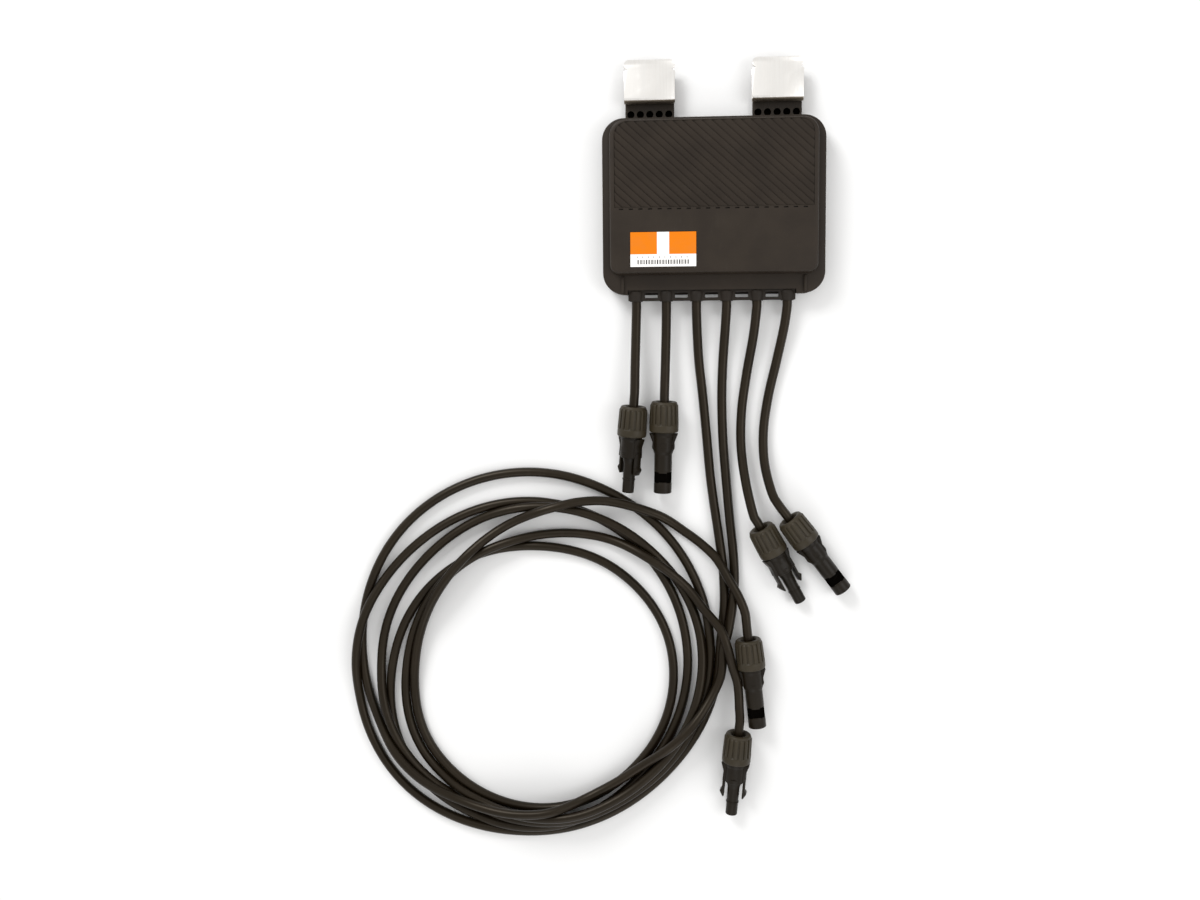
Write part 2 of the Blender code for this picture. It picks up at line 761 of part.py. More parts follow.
def make_cable_comb():
    """The comb of six boots that the leads leave through, with windows between the boots."""
    half = COMB_WIDTH / 2
    comb = box(
        "cable_comb",
        (COMB_OFFSET_X - half, COMB_OUTER_Y, COMB_RAIL_LOW_Z),
        (COMB_OFFSET_X + half, COMB_SHOULDER_Y, COMB_RAIL_HIGH_Z),
        "comb_rubber",
    )
    soften(comb, EDGE_ROUND / 2)
    root_high = SHOULDER_Z - COVER_WALL - GAP
    root = box(
        "comb_root",
        (COMB_OFFSET_X - half, COMB_SHOULDER_Y - CUT_OVER, COMB_LOW_Z),
        (COMB_OFFSET_X + half, COMB_INNER_Y, root_high),
    )
    places = [(lead_x(n), LEAD_AXIS_Z) for n in range(1, LEAD_COUNT + 1)]
    boots = rods_along_y(
        "comb_boots", places, BOOT_RADIUS, COMB_OUTER_Y - BOOT_SHOW, COMB_SHOULDER_Y - GAP
    )
    bores = rods_along_y(
        "comb_bores", places, CABLE_RADIUS + GAP + 0.0001, COMB_OUTER_Y - CUT_OVER, COMB_INNER_Y + CUT_OVER
    )
    join(comb, root, boots)
    cut(comb, bores)
    for number in range(1, LEAD_COUNT):
        middle = lead_x(number) + LEAD_PITCH / 2
        window = box(
            f"comb_window_{number}",
            (middle - WINDOW_WIDTH / 2, WINDOW_Y - WINDOW_LENGTH / 2, 0.0),
            (middle + WINDOW_WIDTH / 2, WINDOW_Y + WINDOW_LENGTH / 2, TOTAL_HEIGHT),
        )
        cut(comb, window)


def make_case_screws():
    """Four screws from the back, through the casing into the cover's bosses."""
    names = ("left_upper", "left_lower", "right_upper", "right_lower")
    for name, place in zip(names, fastener_places()):
        make_screw(f"case_screw_{name}", place, SCREW_HEAD_RADIUS, SCREW_SHAFT_RADIUS, SCREW_LENGTH)


def make_screw(name, place, head_radius, shaft_radius, shaft_length):
    """A pan-head screw that points along +Z, sunk a little below the back face."""
    head_top = SCREW_RECESS + SCREW_HEAD_HEIGHT
    tip = head_top + shaft_length
    profile = [
        (0.0, tip),
        (shaft_radius, tip),
        (shaft_radius, head_top),
        (head_radius, head_top),
        (head_radius, SCREW_RECESS),
        (0.0, SCREW_RECESS),
    ]
    screw = turned(name, profile, "screw_steel", steps=12)
    screw.location = (*place, 0.0)


def make_electronics():
    """The heat spreader, the board and the parts soldered to it."""
    board_top = BOARD_LOW_Z + BOARD_THICKNESS
    low = CASE_FLOOR + GAP
    spreader = box(
        "heat_spreader",
        (-SPREADER_WIDTH / 2, BOARD_Y - SPREADER_LENGTH / 2, low),
        (SPREADER_WIDTH / 2, BOARD_Y + SPREADER_LENGTH / 2, low + SPREADER_THICKNESS),
        "spreader_aluminium",
    )
    soften(spreader, EDGE_ROUND / 2)
    board = box(
        "circuit_board",
        (-BOARD_WIDTH / 2, BOARD_Y - BOARD_LENGTH / 2, BOARD_LOW_Z),
        (BOARD_WIDTH / 2, BOARD_Y + BOARD_LENGTH / 2, board_top),
        "board_laminate",
    )
    soften(board, EDGE_ROUND / 2)
    seat = board_top + GAP
    for side, word in ((-1, "left"), (1, "right")):
        component(
            f"power_switch_{word}",
            side * SWITCH_X,
            BOARD_Y - 0.010,
            (0.0100, 0.0090, 0.0045),
            seat,
            "package_epoxy",
        )
        component(
            f"input_capacitor_{word}",
            side * CAPACITOR_X,
            BOARD_Y - 0.012,
            (0.0060, 0.0140, 0.0105),
            seat,
            "capacitor_case",
        )
        make_toroid(f"signal_toroid_{word}", side * SWITCH_X, BOARD_Y + 0.018, seat)
    component("controller_chip", 0.0, BOARD_Y + 0.018, (CHIP_SIZE, CHIP_SIZE, 0.0012), seat, "package_epoxy")
    edge = BOARD_Y - BOARD_LENGTH / 2
    for index, word in enumerate(("left", "middle", "right")):
        middle = (lead_x(2 * index + 1) + lead_x(2 * index + 2)) / 2
        component(
            f"terminal_block_{word}",
            middle,
            edge + TERMINAL_LENGTH / 2 + GAP,
            (TERMINAL_WIDTH, TERMINAL_LENGTH, TERMINAL_HEIGHT),
            seat,
            "terminal_nylon",
        )


def component(name, x, y, size, seat, finish):
    """One boxed component on the board."""
    width, length, height = size
    piece = box(
        name, (x - width / 2, y - length / 2, seat), (x + width / 2, y + length / 2, seat + height), finish
    )
    soften(piece, 0.0003)


def make_toroid(name, x, y, seat):
    """A ferrite ring core that couples the signal onto the power lines."""
    ring = []
    for step in range(8):
        angle = -math.tau * (step + 0.5) / 8 + math.pi / 2
        ring.append(
            (TOROID_RADIUS + TOROID_SECTION * math.cos(angle), TOROID_SECTION * math.sin(angle))
        )
    core = turned(name, ring, "ferrite", steps=20)
    core.location = (x, y, seat + TOROID_SECTION * math.cos(math.pi / 8))


def clip_profile():
    """Outline of the bent clip in (y, z), from the back leaf's end round the bend to the lip and back."""
    low = TONGUE_THICKNESS + GAP
    inner = CLIP_MOUTH / 2
    outer = inner + CLIP_THICKNESS
    bend_y = CLIP_BEND_Y + outer
    bend_z = low + outer
    high = low + 2 * outer
    steps = 10
    outside = [(BACK_LEAF_END_Y, low)]
    inside = [(BACK_LEAF_END_Y, low + CLIP_THICKNESS)]
    for step in range(steps + 1):
        angle = -math.pi / 2 - math.pi * step / steps
        outside.append((bend_y + outer * math.cos(angle), bend_z + outer * math.sin(angle)))
        inside.append((bend_y + inner * math.cos(angle), bend_z + inner * math.sin(angle)))
    lip_y = CLIP_TIP_Y - CLIP_LIP
    outside += [(lip_y, high), (CLIP_TIP_Y, high + CLIP_LIP_RISE)]
    inside += [(lip_y, high - CLIP_THICKNESS), (CLIP_TIP_Y, high + CLIP_LIP_RISE - CLIP_THICKNESS)]
    return outside + inside[::-1]


def make_clip(side, word):
    """A strip of spring steel bent into a U, whose mouth takes the flange of a panel's frame."""
    clip = plates(f"frame_clip_{word}", [clip_profile()], -CLIP_WIDTH / 2, CLIP_WIDTH / 2, "spring_steel")
    place = Matrix.Translation((side * CLIP_X, 0, 0)) @ Matrix(
        ((0, 0, 1, 0), (1, 0, 0, 0), (0, 1, 0, 0), (0, 0, 0, 1))
    )
    clip.data.transform(place)
    half = CLIP_WIDTH / 2
    leaf_z = TONGUE_THICKNESS + CLIP_MOUTH
    for edge in (-1, 1):
        x = side * CLIP_X + edge * half
        tip = CLIP_TIP_Y
        corner = [(x - edge * CLIP_CORNER, tip + CUT_OVER), (x + edge * CUT_OVER, tip - CLIP_CORNER)]
        corner.append((x + edge * CUT_OVER, tip + CUT_OVER))
        cut(clip, plates(f"clip_corner_{word}_{edge}", [corner], leaf_z, TOTAL_HEIGHT))
        notch = [
            (x - edge * BARB_DEPTH, BARB_Y),
            (x + edge * CUT_OVER, BARB_Y - BARB_DEPTH / 2),
            (x + edge * CUT_OVER, BARB_Y + BARB_DEPTH),
        ]
        cut(clip, plates(f"clip_barb_{word}_{edge}", [notch], leaf_z, TOTAL_HEIGHT))
    place = [(side * CLIP_X, CLIP_SCREW_Y)]
    cut(clip, rods(f"clip_hole_{word}", place, CLIP_SCREW_SHAFT_RADIUS + GAP, 0.0, leaf_z, segments=12))
    length = TONGUE_THICKNESS + GAP + CLIP_THICKNESS - SCREW_RECESS - SCREW_HEAD_HEIGHT
    make_screw(f"clip_screw_{word}", place[0], CLIP_SCREW_HEAD_RADIUS, CLIP_SCREW_SHAFT_RADIUS, length)


def coupler_frame(number):
    """The matrix of a coupler: +Z runs from the nut's rear face to the nose, +X lies to one side."""
    _, rear, heading, dip, roll = COUPLERS[number - 1]
    dip = math.radians(dip)
    flat = Vector((*heading, 0.0)).normalized()
    nose = flat * math.cos(dip) - Vector((0, 0, 1)) * math.sin(dip)
    side = Vector((0, 0, 1)).cross(flat).normalized()
    over = nose.cross(side)
    height = NUT_FRONT_RADIUS * math.cos(dip) + NUT_LENGTH * math.sin(dip) + FLOOR_CLEARANCE
    turn = Matrix((side, over, nose)).transposed().to_4x4()
    return Matrix.Translation((*rear, height)) @ turn @ Matrix.Rotation(math.radians(roll), 4, "Z")


def coupler_approach(number):
    """Route points that bring a lead straight into its coupler's nut."""
    frame = coupler_frame(number)
    inside = SPIGOT_START - GAP
    return [tuple(frame @ Vector((0, 0, along))) for along in (-0.010, -0.003, inside)]


def stand(thing, holder):
    """Parent a piece to the empty that holds its coupler."""
    thing.parent = holder


def make_coupler(number):
    """One plug coupler: gland nut, body, contact and, on a female one, two latch arms."""
    holder = bpy.data.objects.new(f"coupler_{number}", None)
    PARTS.objects.link(holder)
    holder.matrix_world = coupler_frame(number)
    stand(make_gland_nut(f"gland_nut_{number}"), holder)
    if COUPLERS[number - 1][0] == "female":
        stand(make_female_body(number), holder)
        stand(make_socket_contact(f"contact_socket_{number}"), holder)
        for word, edge in (("a", 1), ("b", -1)):
            stand(make_latch_arm(f"latch_arm_{number}{word}", edge), holder)
    else:
        stand(make_male_body(number), holder)
        stand(make_pin_contact(f"contact_pin_{number}"), holder)


def make_gland_nut(name):
    """The nut that squeezes the seal round the cable, hollow for the body's threaded spigot."""
    cavity = SPIGOT_RADIUS + THREAD_CLEARANCE
    profile = [
        (cavity, NUT_LENGTH),
        (NUT_FRONT_RADIUS - 0.0003, NUT_LENGTH),
        (NUT_FRONT_RADIUS, NUT_LENGTH - 0.0006),
        (NUT_FRONT_RADIUS, NUT_LENGTH * 0.75),
        (NUT_REAR_RADIUS, 0.0022),
        (NUT_REAR_RADIUS - 0.0016, 0.0),
        (NUT_MOUTH_RADIUS, 0.0),
        (NUT_THROAT_RADIUS, 0.0040),
        (NUT_THROAT_RADIUS, NUT_THROAT_DEPTH),
        (cavity, NUT_THROAT_DEPTH),
    ]
    return turned(name, profile, "nut_plastic")


def body_root():
    """Profile points shared by both bodies, on the cable side of the collar, running down."""
    seat = NUT_LENGTH + GAP
    return [
        (COLLAR_RADIUS, seat),
        (SPIGOT_RADIUS, seat),
        (SPIGOT_RADIUS, SPIGOT_START),
        (0.0, SPIGOT_START),
    ]


def ear_plate(name, outline, half_thickness):
    """Side ears from half an outline in (x, z), mirrored to both sides, along the coupler's axis."""
    both = outline + [(-x, z) for x, z in reversed(outline)]
    plate = plates(name, [both], -half_thickness, half_thickness)
    plate.data.transform(Matrix(((1, 0, 0, 0), (0, 0, -1, 0), (0, 1, 0, 0), (0, 0, 0, 1))))
    return plate


def place_tools(number, *tools):
    """Stand a body's tools where the body stands."""
    for tool in tools:
        tool.matrix_world = coupler_frame(number)


def make_female_body(number):
    """The body with the narrow probe, whose two latch arms sit in side pockets."""
    bottom = PROBE_END - PROBE_BORE_DEPTH
    profile = [
        (0.0, bottom),
        (PROBE_BORE_RADIUS, bottom),
        (PROBE_BORE_RADIUS, PROBE_END),
        (PROBE_RADIUS - 0.0005, PROBE_END),
        (PROBE_RADIUS, PROBE_END - 0.0005),
        (PROBE_RADIUS, FEMALE_BODY_END),
        (FEMALE_BODY_RADIUS, FEMALE_BODY_END),
        (FEMALE_BODY_RADIUS, NUT_LENGTH + 0.0026),
        (COLLAR_RADIUS, NUT_LENGTH + 0.0018),
    ] + body_root()
    body = turned(f"coupler_body_{number}", profile, "coupler_plastic")
    ears = ear_plate(
        f"female_ears_{number}",
        [(EAR_REACH, EAR_START), (0.0073, 0.0262), (0.0077, FEMALE_BODY_END - GAP)],
        0.0032,
    )
    pockets = []
    for edge in (-1, 1):
        inner = ARM_INNER - GAP - 0.0001
        low_x, high_x = sorted((edge * inner, edge * (EAR_REACH + CUT_OVER)))
        pockets.append(
            box(
                f"arm_pocket_{number}_{edge}",
                (low_x, -ARM_WIDTH / 2 - GAP, ARM_START - GAP),
                (high_x, ARM_WIDTH / 2 + GAP, FEMALE_BODY_END + CUT_OVER),
            )
        )
    place_tools(number, ears, *pockets)
    join(body, ears)
    cut(body, *pockets)
    return body


def make_male_body(number):
    """The body with the open barrel, windowed for the mating latch arms."""
    bottom = BARREL_END - BARREL_BORE_DEPTH
    profile = [
        (0.0, bottom),
        (BARREL_BORE_RADIUS, bottom),
        (BARREL_BORE_RADIUS, BARREL_END),
        (RIM_RADIUS - 0.0004, BARREL_END),
        (RIM_RADIUS, BARREL_END - 0.0006),
        (RIM_RADIUS, BARREL_WINDOW_END + 0.0006),
        (BARREL_RADIUS, BARREL_WINDOW_END + 0.0004),
        (BARREL_RADIUS, NUT_LENGTH + 0.0026),
        (COLLAR_RADIUS, NUT_LENGTH + 0.0018),
    ] + body_root()
    body = turned(f"coupler_body_{number}", profile, "coupler_plastic")
    ears = ear_plate(
        f"male_ears_{number}",
        [(EAR_REACH, EAR_START), (0.0070, 0.0262), (0.0073, 0.0295), (BARREL_RADIUS - GAP, MALE_SHOULDER)],
        0.0022,
    )
    window = box(
        f"barrel_window_{number}",
        (-BARREL_WINDOW_WIDTH / 2, -RIM_RADIUS - CUT_OVER, BARREL_WINDOW_START),
        (BARREL_WINDOW_WIDTH / 2, RIM_RADIUS + CUT_OVER, BARREL_WINDOW_END),
    )
    place_tools(number, ears, window)
    join(body, ears)
    cut(body, window)
    return body


def make_socket_contact(name):
    """The tinned socket inside the probe."""
    outer = PROBE_BORE_RADIUS - GAP
    inner = outer - SOCKET_WALL
    low = PROBE_END - PROBE_BORE_DEPTH + GAP
    high = PROBE_END - 0.0010
    floor = low + 0.004
    profile = [(0.0, floor), (inner, floor), (inner, high), (outer, high), (outer, low), (0.0, low)]
    return turned(name, profile, "tinned_copper", steps=12)


def make_pin_contact(name):
    """The tinned pin inside the barrel."""
    low = BARREL_END - BARREL_BORE_DEPTH + GAP
    high = BARREL_END - PIN_RECESS
    profile = [
        (0.0, high),
        (PIN_RADIUS / 2, high),
        (PIN_RADIUS, high - 0.0016),
        (PIN_RADIUS, low),
        (0.0, low),
    ]
    return turned(name, profile, "tinned_copper", steps=12)


def make_latch_arm(name, edge):
    """One hooked latch arm, with its origin on the line that it flexes about."""
    outer = ARM_INNER + ARM_THICKNESS
    middle = ARM_INNER + ARM_THICKNESS / 2
    outline = [
        (ARM_INNER, ARM_START),
        (outer, ARM_START),
        (outer, ARM_END - 0.0048),
        (outer + ARM_HOOK, ARM_END - 0.0040),
        (middle, ARM_END),
        (ARM_INNER, ARM_END - 0.0012),
    ]
    outline = [(edge * (x - middle), z - ARM_PIVOT) for x, z in outline]
    arm = plates(name, [outline], -ARM_WIDTH / 2, ARM_WIDTH / 2, "coupler_plastic")
    arm.data.transform(Matrix(((1, 0, 0, 0), (0, 0, -1, 0), (0, 1, 0, 0), (0, 0, 0, 1))))
    arm.location = (edge * middle, 0.0, ARM_PIVOT)
    return arm


def lead_start(number):
    """Route points that bring a lead straight out through its boot."""
    x = lead_x(number)
    return [(x, y, LEAD_AXIS_Z) for y in (LEAD_START_Y, COMB_OUTER_Y, COMB_OUTER_Y - LEAD_STRAIGHT)]


def make_leads():
    """The six leads. The two long ones run into the coil and come out of it again to their couplers."""
    for number, route in ((1, ROUTE_1), (2, ROUTE_2), (5, ROUTE_5), (6, ROUTE_6)):
        cable(f"lead_{number}", lead_start(number) + list(route) + coupler_approach(number))
    cable("lead_3_feed", lead_start(3) + list(ROUTE_3))
    cable("lead_4_feed", lead_start(4) + list(ROUTE_4))
    cable("lead_3_tail", list(TAIL_3) + coupler_approach(3))
    cable("lead_4_tail", list(TAIL_4) + coupler_approach(4))


def coil_reach(angle):
    """How far out the coil reaches towards an angle, least of all beside the first coupler's nose."""
    return COIL_OUTER_RADIUS + COIL_BULGE * (1 - math.cos(angle - COIL_TIGHT_ANGLE)) / 2


def make_coil():
    """The outer shape of the coil that the two long leads make together."""
    inner, height, chamfer = COIL_INNER_RADIUS, COIL_HEIGHT, COIL_CHAMFER
    verts, faces = [], []
    for step in range(COIL_SEGMENTS):
        angle = math.tau * step / COIL_SEGMENTS
        outer = coil_reach(angle)
        section = (
            (inner, 0.0),
            (outer, 0.0),
            (outer, height - chamfer),
            (outer - chamfer, height),
            (inner + chamfer, height),
            (inner, height - chamfer),
        )
        verts += [(r * math.cos(angle), r * math.sin(angle), z) for r, z in section]
        here, there = 6 * step, 6 * ((step + 1) % COIL_SEGMENTS)
        faces += [(here + i, there + i, there + (i + 1) % 6, here + (i + 1) % 6) for i in range(6)]
    mesh = bpy.data.meshes.new("lead_coil")
    mesh.from_pydata(verts, [], faces)
    coil = add_object("lead_coil", mesh, "cable_jacket")
    coil.location = (*COIL_CENTRE, 0.0)
    for name, route in (("3", STUB_3), ("4", STUB_4), ("tail_3", STUB_TAIL_3), ("tail_4", STUB_TAIL_4)):
        curve = tube_curve(f"coil_stub_{name}", smooth_route(route))
        join(coil, curve_to_mesh(f"coil_stub_{name}", curve, Matrix.Identity(4)))


def main():
    """Build every piece."""
    make_rear_casing()
    make_gasket()
    make_front_cover()
    make_label()
    make_cable_comb()
    make_case_screws()
    make_electronics()
    for side, word in ((-1, "left"), (1, "right")):
        make_clip(side, word)
    for number in range(1, len(COUPLERS) + 1):
        make_coupler(number)
    make_leads()
    make_coil()


main()
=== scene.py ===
"""Looks of a two-module solar electronics box: two-shell case, spring clips and six plugged leads.

Everything is in metres in the part's own frame: the box lies on its back with its front up, the
clips point along +Y and the leads run away along -Y.
"""

import json
import logging
import math
from collections.abc import Iterable, Sequence
from dataclasses import dataclass, field
from enum import Enum
from functools import cached_property
from itertools import product

import bmesh
import bpy
import numpy as np
from mathutils import Matrix, Vector

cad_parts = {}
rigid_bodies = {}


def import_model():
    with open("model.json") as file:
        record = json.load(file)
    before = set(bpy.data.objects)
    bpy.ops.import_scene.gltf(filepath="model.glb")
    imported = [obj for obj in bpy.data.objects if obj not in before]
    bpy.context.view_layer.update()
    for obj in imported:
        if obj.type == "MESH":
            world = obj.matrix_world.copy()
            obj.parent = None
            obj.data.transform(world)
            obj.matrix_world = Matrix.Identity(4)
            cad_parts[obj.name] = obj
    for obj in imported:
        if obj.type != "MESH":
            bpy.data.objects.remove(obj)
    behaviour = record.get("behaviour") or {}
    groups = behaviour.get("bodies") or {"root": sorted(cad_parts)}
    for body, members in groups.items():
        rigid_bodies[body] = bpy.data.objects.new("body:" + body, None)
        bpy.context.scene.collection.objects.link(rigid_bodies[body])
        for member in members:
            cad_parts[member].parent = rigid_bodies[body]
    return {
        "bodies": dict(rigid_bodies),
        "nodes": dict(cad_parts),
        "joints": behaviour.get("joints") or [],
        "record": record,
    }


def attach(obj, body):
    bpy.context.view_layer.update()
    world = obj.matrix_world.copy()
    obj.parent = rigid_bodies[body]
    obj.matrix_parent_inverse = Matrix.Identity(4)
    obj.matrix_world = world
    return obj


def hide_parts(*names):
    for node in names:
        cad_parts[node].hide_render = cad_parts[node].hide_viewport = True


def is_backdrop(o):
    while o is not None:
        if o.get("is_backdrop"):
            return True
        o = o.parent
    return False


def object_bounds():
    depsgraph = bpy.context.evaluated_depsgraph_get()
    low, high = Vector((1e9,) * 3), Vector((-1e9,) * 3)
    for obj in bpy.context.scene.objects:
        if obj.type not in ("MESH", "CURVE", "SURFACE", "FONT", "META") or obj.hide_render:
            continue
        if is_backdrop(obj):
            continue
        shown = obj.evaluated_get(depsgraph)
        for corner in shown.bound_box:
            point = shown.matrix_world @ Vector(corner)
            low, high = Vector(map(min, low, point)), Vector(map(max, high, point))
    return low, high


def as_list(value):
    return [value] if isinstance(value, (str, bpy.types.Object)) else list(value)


log = logging.getLogger("electronics_box")

MM = 0.001
ENCLOSURE = "enclosure"

Point2 = tuple[float, float]
Point3 = tuple[float, float, float]
Colour = tuple[float, float, float]

# Stands a flat plate up: its Y becomes Z
UPRIGHT = Matrix(((1, 0, 0, 0), (0, 0, -1, 0), (0, 1, 0, 0), (0, 0, 0, 1)))


class Slot(Enum):
    """The record's material slots that new pieces stand for."""

    CASE = "case_plastic"
    COVER = "cover_plastic"
    LABEL = "label_film"
    COMB = "comb_rubber"
    JACKET = "cable_jacket"
    NUT = "nut_plastic"
    COUPLER = "coupler_plastic"
    SPRING = "spring_steel"
    SCREW = "screw_steel"
    CONTACT = "tinned_copper"


class CouplerKind(Enum):
    """The two halves of a plug pair."""

    PROBE = "probe"
    BARREL = "barrel"


# Shader groups.


class ShaderTree:
    """A node tree with short calls for the nodes that the finishes use."""

    def __init__(self, tree: bpy.types.NodeTree) -> None:
        """Wrap a tree.

        Args:
            tree: The material's or group's node tree.
        """
        self.tree = tree

    def node(self, kind: str, **settings: object) -> bpy.types.Node:
        """Add a node.

        Args:
            kind: The node's type name.
            **settings: Properties of the node.

        Returns:
            The new node.
        """
        made = self.tree.nodes.new(kind)
        for name, value in settings.items():
            setattr(made, name, value)
        return made

    def feed(self, socket: bpy.types.NodeSocket, source: object) -> None:
        """Link a socket to another, or set its value.

        Args:
            socket: The input.
            source: An output socket, or a plain value.
        """
        if isinstance(source, bpy.types.NodeSocket):
            self.tree.links.new(source, socket)
        else:
            socket.default_value = source

    def math(self, operation: str, first: object, second: object = 0.0) -> bpy.types.NodeSocket:
        """One sum of two values.

        Args:
            operation: The Math node's operation.
            first: An output socket or a number.
            second: An output socket or a number.

        Returns:
            The result's socket.
        """
        made = self.node("ShaderNodeMath", operation=operation)
        self.feed(made.inputs[0], first)
        self.feed(made.inputs[1], second)
        return made.outputs[0]

    def stretch(self, value: object, low: float, high: float, to_low: float, to_high: float) -> object:
        """Map a range of a value smoothly onto another and clamp it.

        Args:
            value: The socket that varies.
            low: Start of its range.
            high: End of its range.
            to_low: What the start becomes.
            to_high: What the end becomes.

        Returns:
            The result's socket.
        """
        made = self.node("ShaderNodeMapRange", interpolation_type="SMOOTHSTEP", clamp=True)
        for socket, source in zip(made.inputs, (value, low, high, to_low, to_high)):
            self.feed(socket, source)
        return made.outputs[0]

    def blend(self, mask: object, first: object, second: object) -> bpy.types.NodeSocket:
        """Mix two colours.

        Args:
            mask: How much of the second colour shows.
            first: A colour or an output socket.
            second: A colour or an output socket.

        Returns:
            The mixed colour's socket.
        """
        made = self.node("ShaderNodeMix", data_type="RGBA")
        self.feed(made.inputs[0], mask)
        for socket, source in ((made.inputs[6], first), (made.inputs[7], second)):
            self.feed(socket, (*source, 1.0) if isinstance(source, tuple) else source)
        return made.outputs[2]

    def place(self, scale: Point3 = (1.0, 1.0, 1.0)) -> bpy.types.NodeSocket:
        """The piece's own coordinates in metres.

        Args:
            scale: How much each axis is stretched.

        Returns:
            The vector's socket.
        """
        source = self.node("ShaderNodeTexCoord").outputs["Object"]
        if scale == (1.0, 1.0, 1.0):
            return source
        mapping = self.node("ShaderNodeMapping")
        self.feed(mapping.inputs["Vector"], source)
        mapping.inputs["Scale"].default_value = scale
        return mapping.outputs[0]

    def noise(self, vector: object, scale: object, detail: float = 2.0, roughness: float = 0.5) -> object:
        """A noise pattern.

        Args:
            vector: Where it is read.
            scale: Waves in a metre.
            detail: How many octaves it has.
            roughness: How strong the small octaves are.

        Returns:
            The noise's value socket.
        """
        made = self.node("ShaderNodeTexNoise")
        self.feed(made.inputs["Vector"], vector)
        self.feed(made.inputs["Scale"], scale)
        made.inputs["Detail"].default_value = detail
        made.inputs["Roughness"].default_value = roughness
        return made.outputs["Fac"]


class GroupLibrary:
    """Shader groups that several finishes share, each built once."""

    @staticmethod
    def _start(
        name: str, inputs: dict[str, float], outputs: Iterable[str]
    ) -> tuple[ShaderTree, object, object]:
        """Make an empty group with float sockets.

        Args:
            name: The group's name.
            inputs: Input names and their default values.
            outputs: Output names.

        Returns:
            The tree wrapper, the group's input node and its output node.
        """
        tree = bpy.data.node_groups.new(name, "ShaderNodeTree")
        for label, value in inputs.items():
            socket = tree.interface.new_socket(label, in_out="INPUT", socket_type="NodeSocketFloat")
            socket.default_value = value
        for label in outputs:
            tree.interface.new_socket(label, in_out="OUTPUT", socket_type="NodeSocketFloat")
        kit = ShaderTree(tree)
        return kit, kit.node("NodeGroupInput"), kit.node("NodeGroupOutput")

    @cached_property
    def mould_grain(self) -> bpy.types.NodeTree:
        """Spark-eroded mould texture: fine pits over a slow swell, with a cloudy tone."""
        inputs = {"Grain scale": 2200.0, "Cloud scale": 45.0}
        kit, given, out = self._start("mould_grain", inputs, ("Height", "Cloud"))
        where = kit.place()
        pits = kit.node("ShaderNodeTexVoronoi", feature="SMOOTH_F1")
        kit.feed(pits.inputs["Vector"], where)
        kit.feed(pits.inputs["Scale"], given.outputs["Grain scale"])
        fine = kit.noise(where, kit.math("MULTIPLY", given.outputs["Grain scale"], 1.9), 2.0)
        swell = kit.noise(where, given.outputs["Cloud scale"], 3.0)
        coarse = kit.math("MULTIPLY", pits.outputs["Distance"], 0.6)
        height = kit.math("ADD", coarse, kit.math("MULTIPLY", fine, 0.5))
        kit.feed(out.inputs["Height"], height)
        kit.feed(out.inputs["Cloud"], kit.stretch(swell, 0.32, 0.68, 0.0, 1.0))
        return kit.tree

    @cached_property
    def handling(self) -> bpy.types.NodeTree:
        """Rub marks and dust: broken patches and a few long faint scratches."""
        kit, given, out = self._start("handling", {"Patch scale": 60.0, "Amount": 0.5}, ("Rub", "Dust"))
        where = kit.place()
        patches = kit.noise(where, given.outputs["Patch scale"], 5.0, 0.62)
        streaks = kit.noise(kit.place((1.0, 0.08, 1.0)), 900.0, 1.0)
        broken, lines = kit.stretch(patches, 0.52, 0.72, 0.0, 1.0), kit.stretch(streaks, 0.5, 0.75, 0.25, 1.0)
        rub = kit.math("MULTIPLY", broken, lines)
        up = kit.node("ShaderNodeSeparateXYZ")
        kit.feed(up.inputs[0], kit.node("ShaderNodeNewGeometry").outputs["Normal"])
        specks = kit.stretch(kit.noise(where, 1500.0, 2.0), 0.66, 0.74, 0.0, 1.0)
        dust = kit.math("MULTIPLY", specks, kit.stretch(up.outputs[2], 0.2, 0.9, 0.0, 1.0))
        kit.feed(out.inputs["Rub"], kit.math("MULTIPLY", rub, given.outputs["Amount"]))
        kit.feed(out.inputs["Dust"], kit.math("MULTIPLY", dust, given.outputs["Amount"]))
        return kit.tree

    @cached_property
    def drawn_lines(self) -> bpy.types.NodeTree:
        """Parallel rolling or drawing marks along one axis."""
        kit, given, out = self._start("drawn_lines", {"Line scale": 3000.0}, ("Height", "Streak"))
        along = kit.place((1.0, 0.03, 1.0))
        kit.feed(out.inputs["Height"], kit.noise(along, given.outputs["Line scale"], 2.0))
        broad = kit.noise(along, kit.math("MULTIPLY", given.outputs["Line scale"], 0.2), 3.0)
        kit.feed(out.inputs["Streak"], kit.stretch(broad, 0.3, 0.7, 0.0, 1.0))
        return kit.tree


GROUPS = GroupLibrary()


def start_material(name: str) -> tuple[bpy.types.Material, ShaderTree, bpy.types.Node]:
    """Make a material with a bare Principled shader.

    Args:
        name: The material's name.

    Returns:
        The material, its tree wrapper and the shader.
    """
    material = bpy.data.materials.new(name)
    material.use_nodes = True
    return material, ShaderTree(material.node_tree), material.node_tree.nodes["Principled BSDF"]


def add_bump(
    kit: ShaderTree, shader: bpy.types.Node, height: object, distance: float, strength: float
) -> None:
    """Put a bump between a height and a shader.

    Args:
        kit: The material's tree.
        shader: The Principled shader.
        height: The height's socket.
        distance: How high the bump is, in metres.
        strength: How strongly it shows.
    """
    bump = kit.node("ShaderNodeBump")
    bump.inputs["Strength"].default_value = strength
    bump.inputs["Distance"].default_value = distance
    kit.feed(bump.inputs["Height"], height)
    kit.feed(shader.inputs["Normal"], bump.outputs[0])


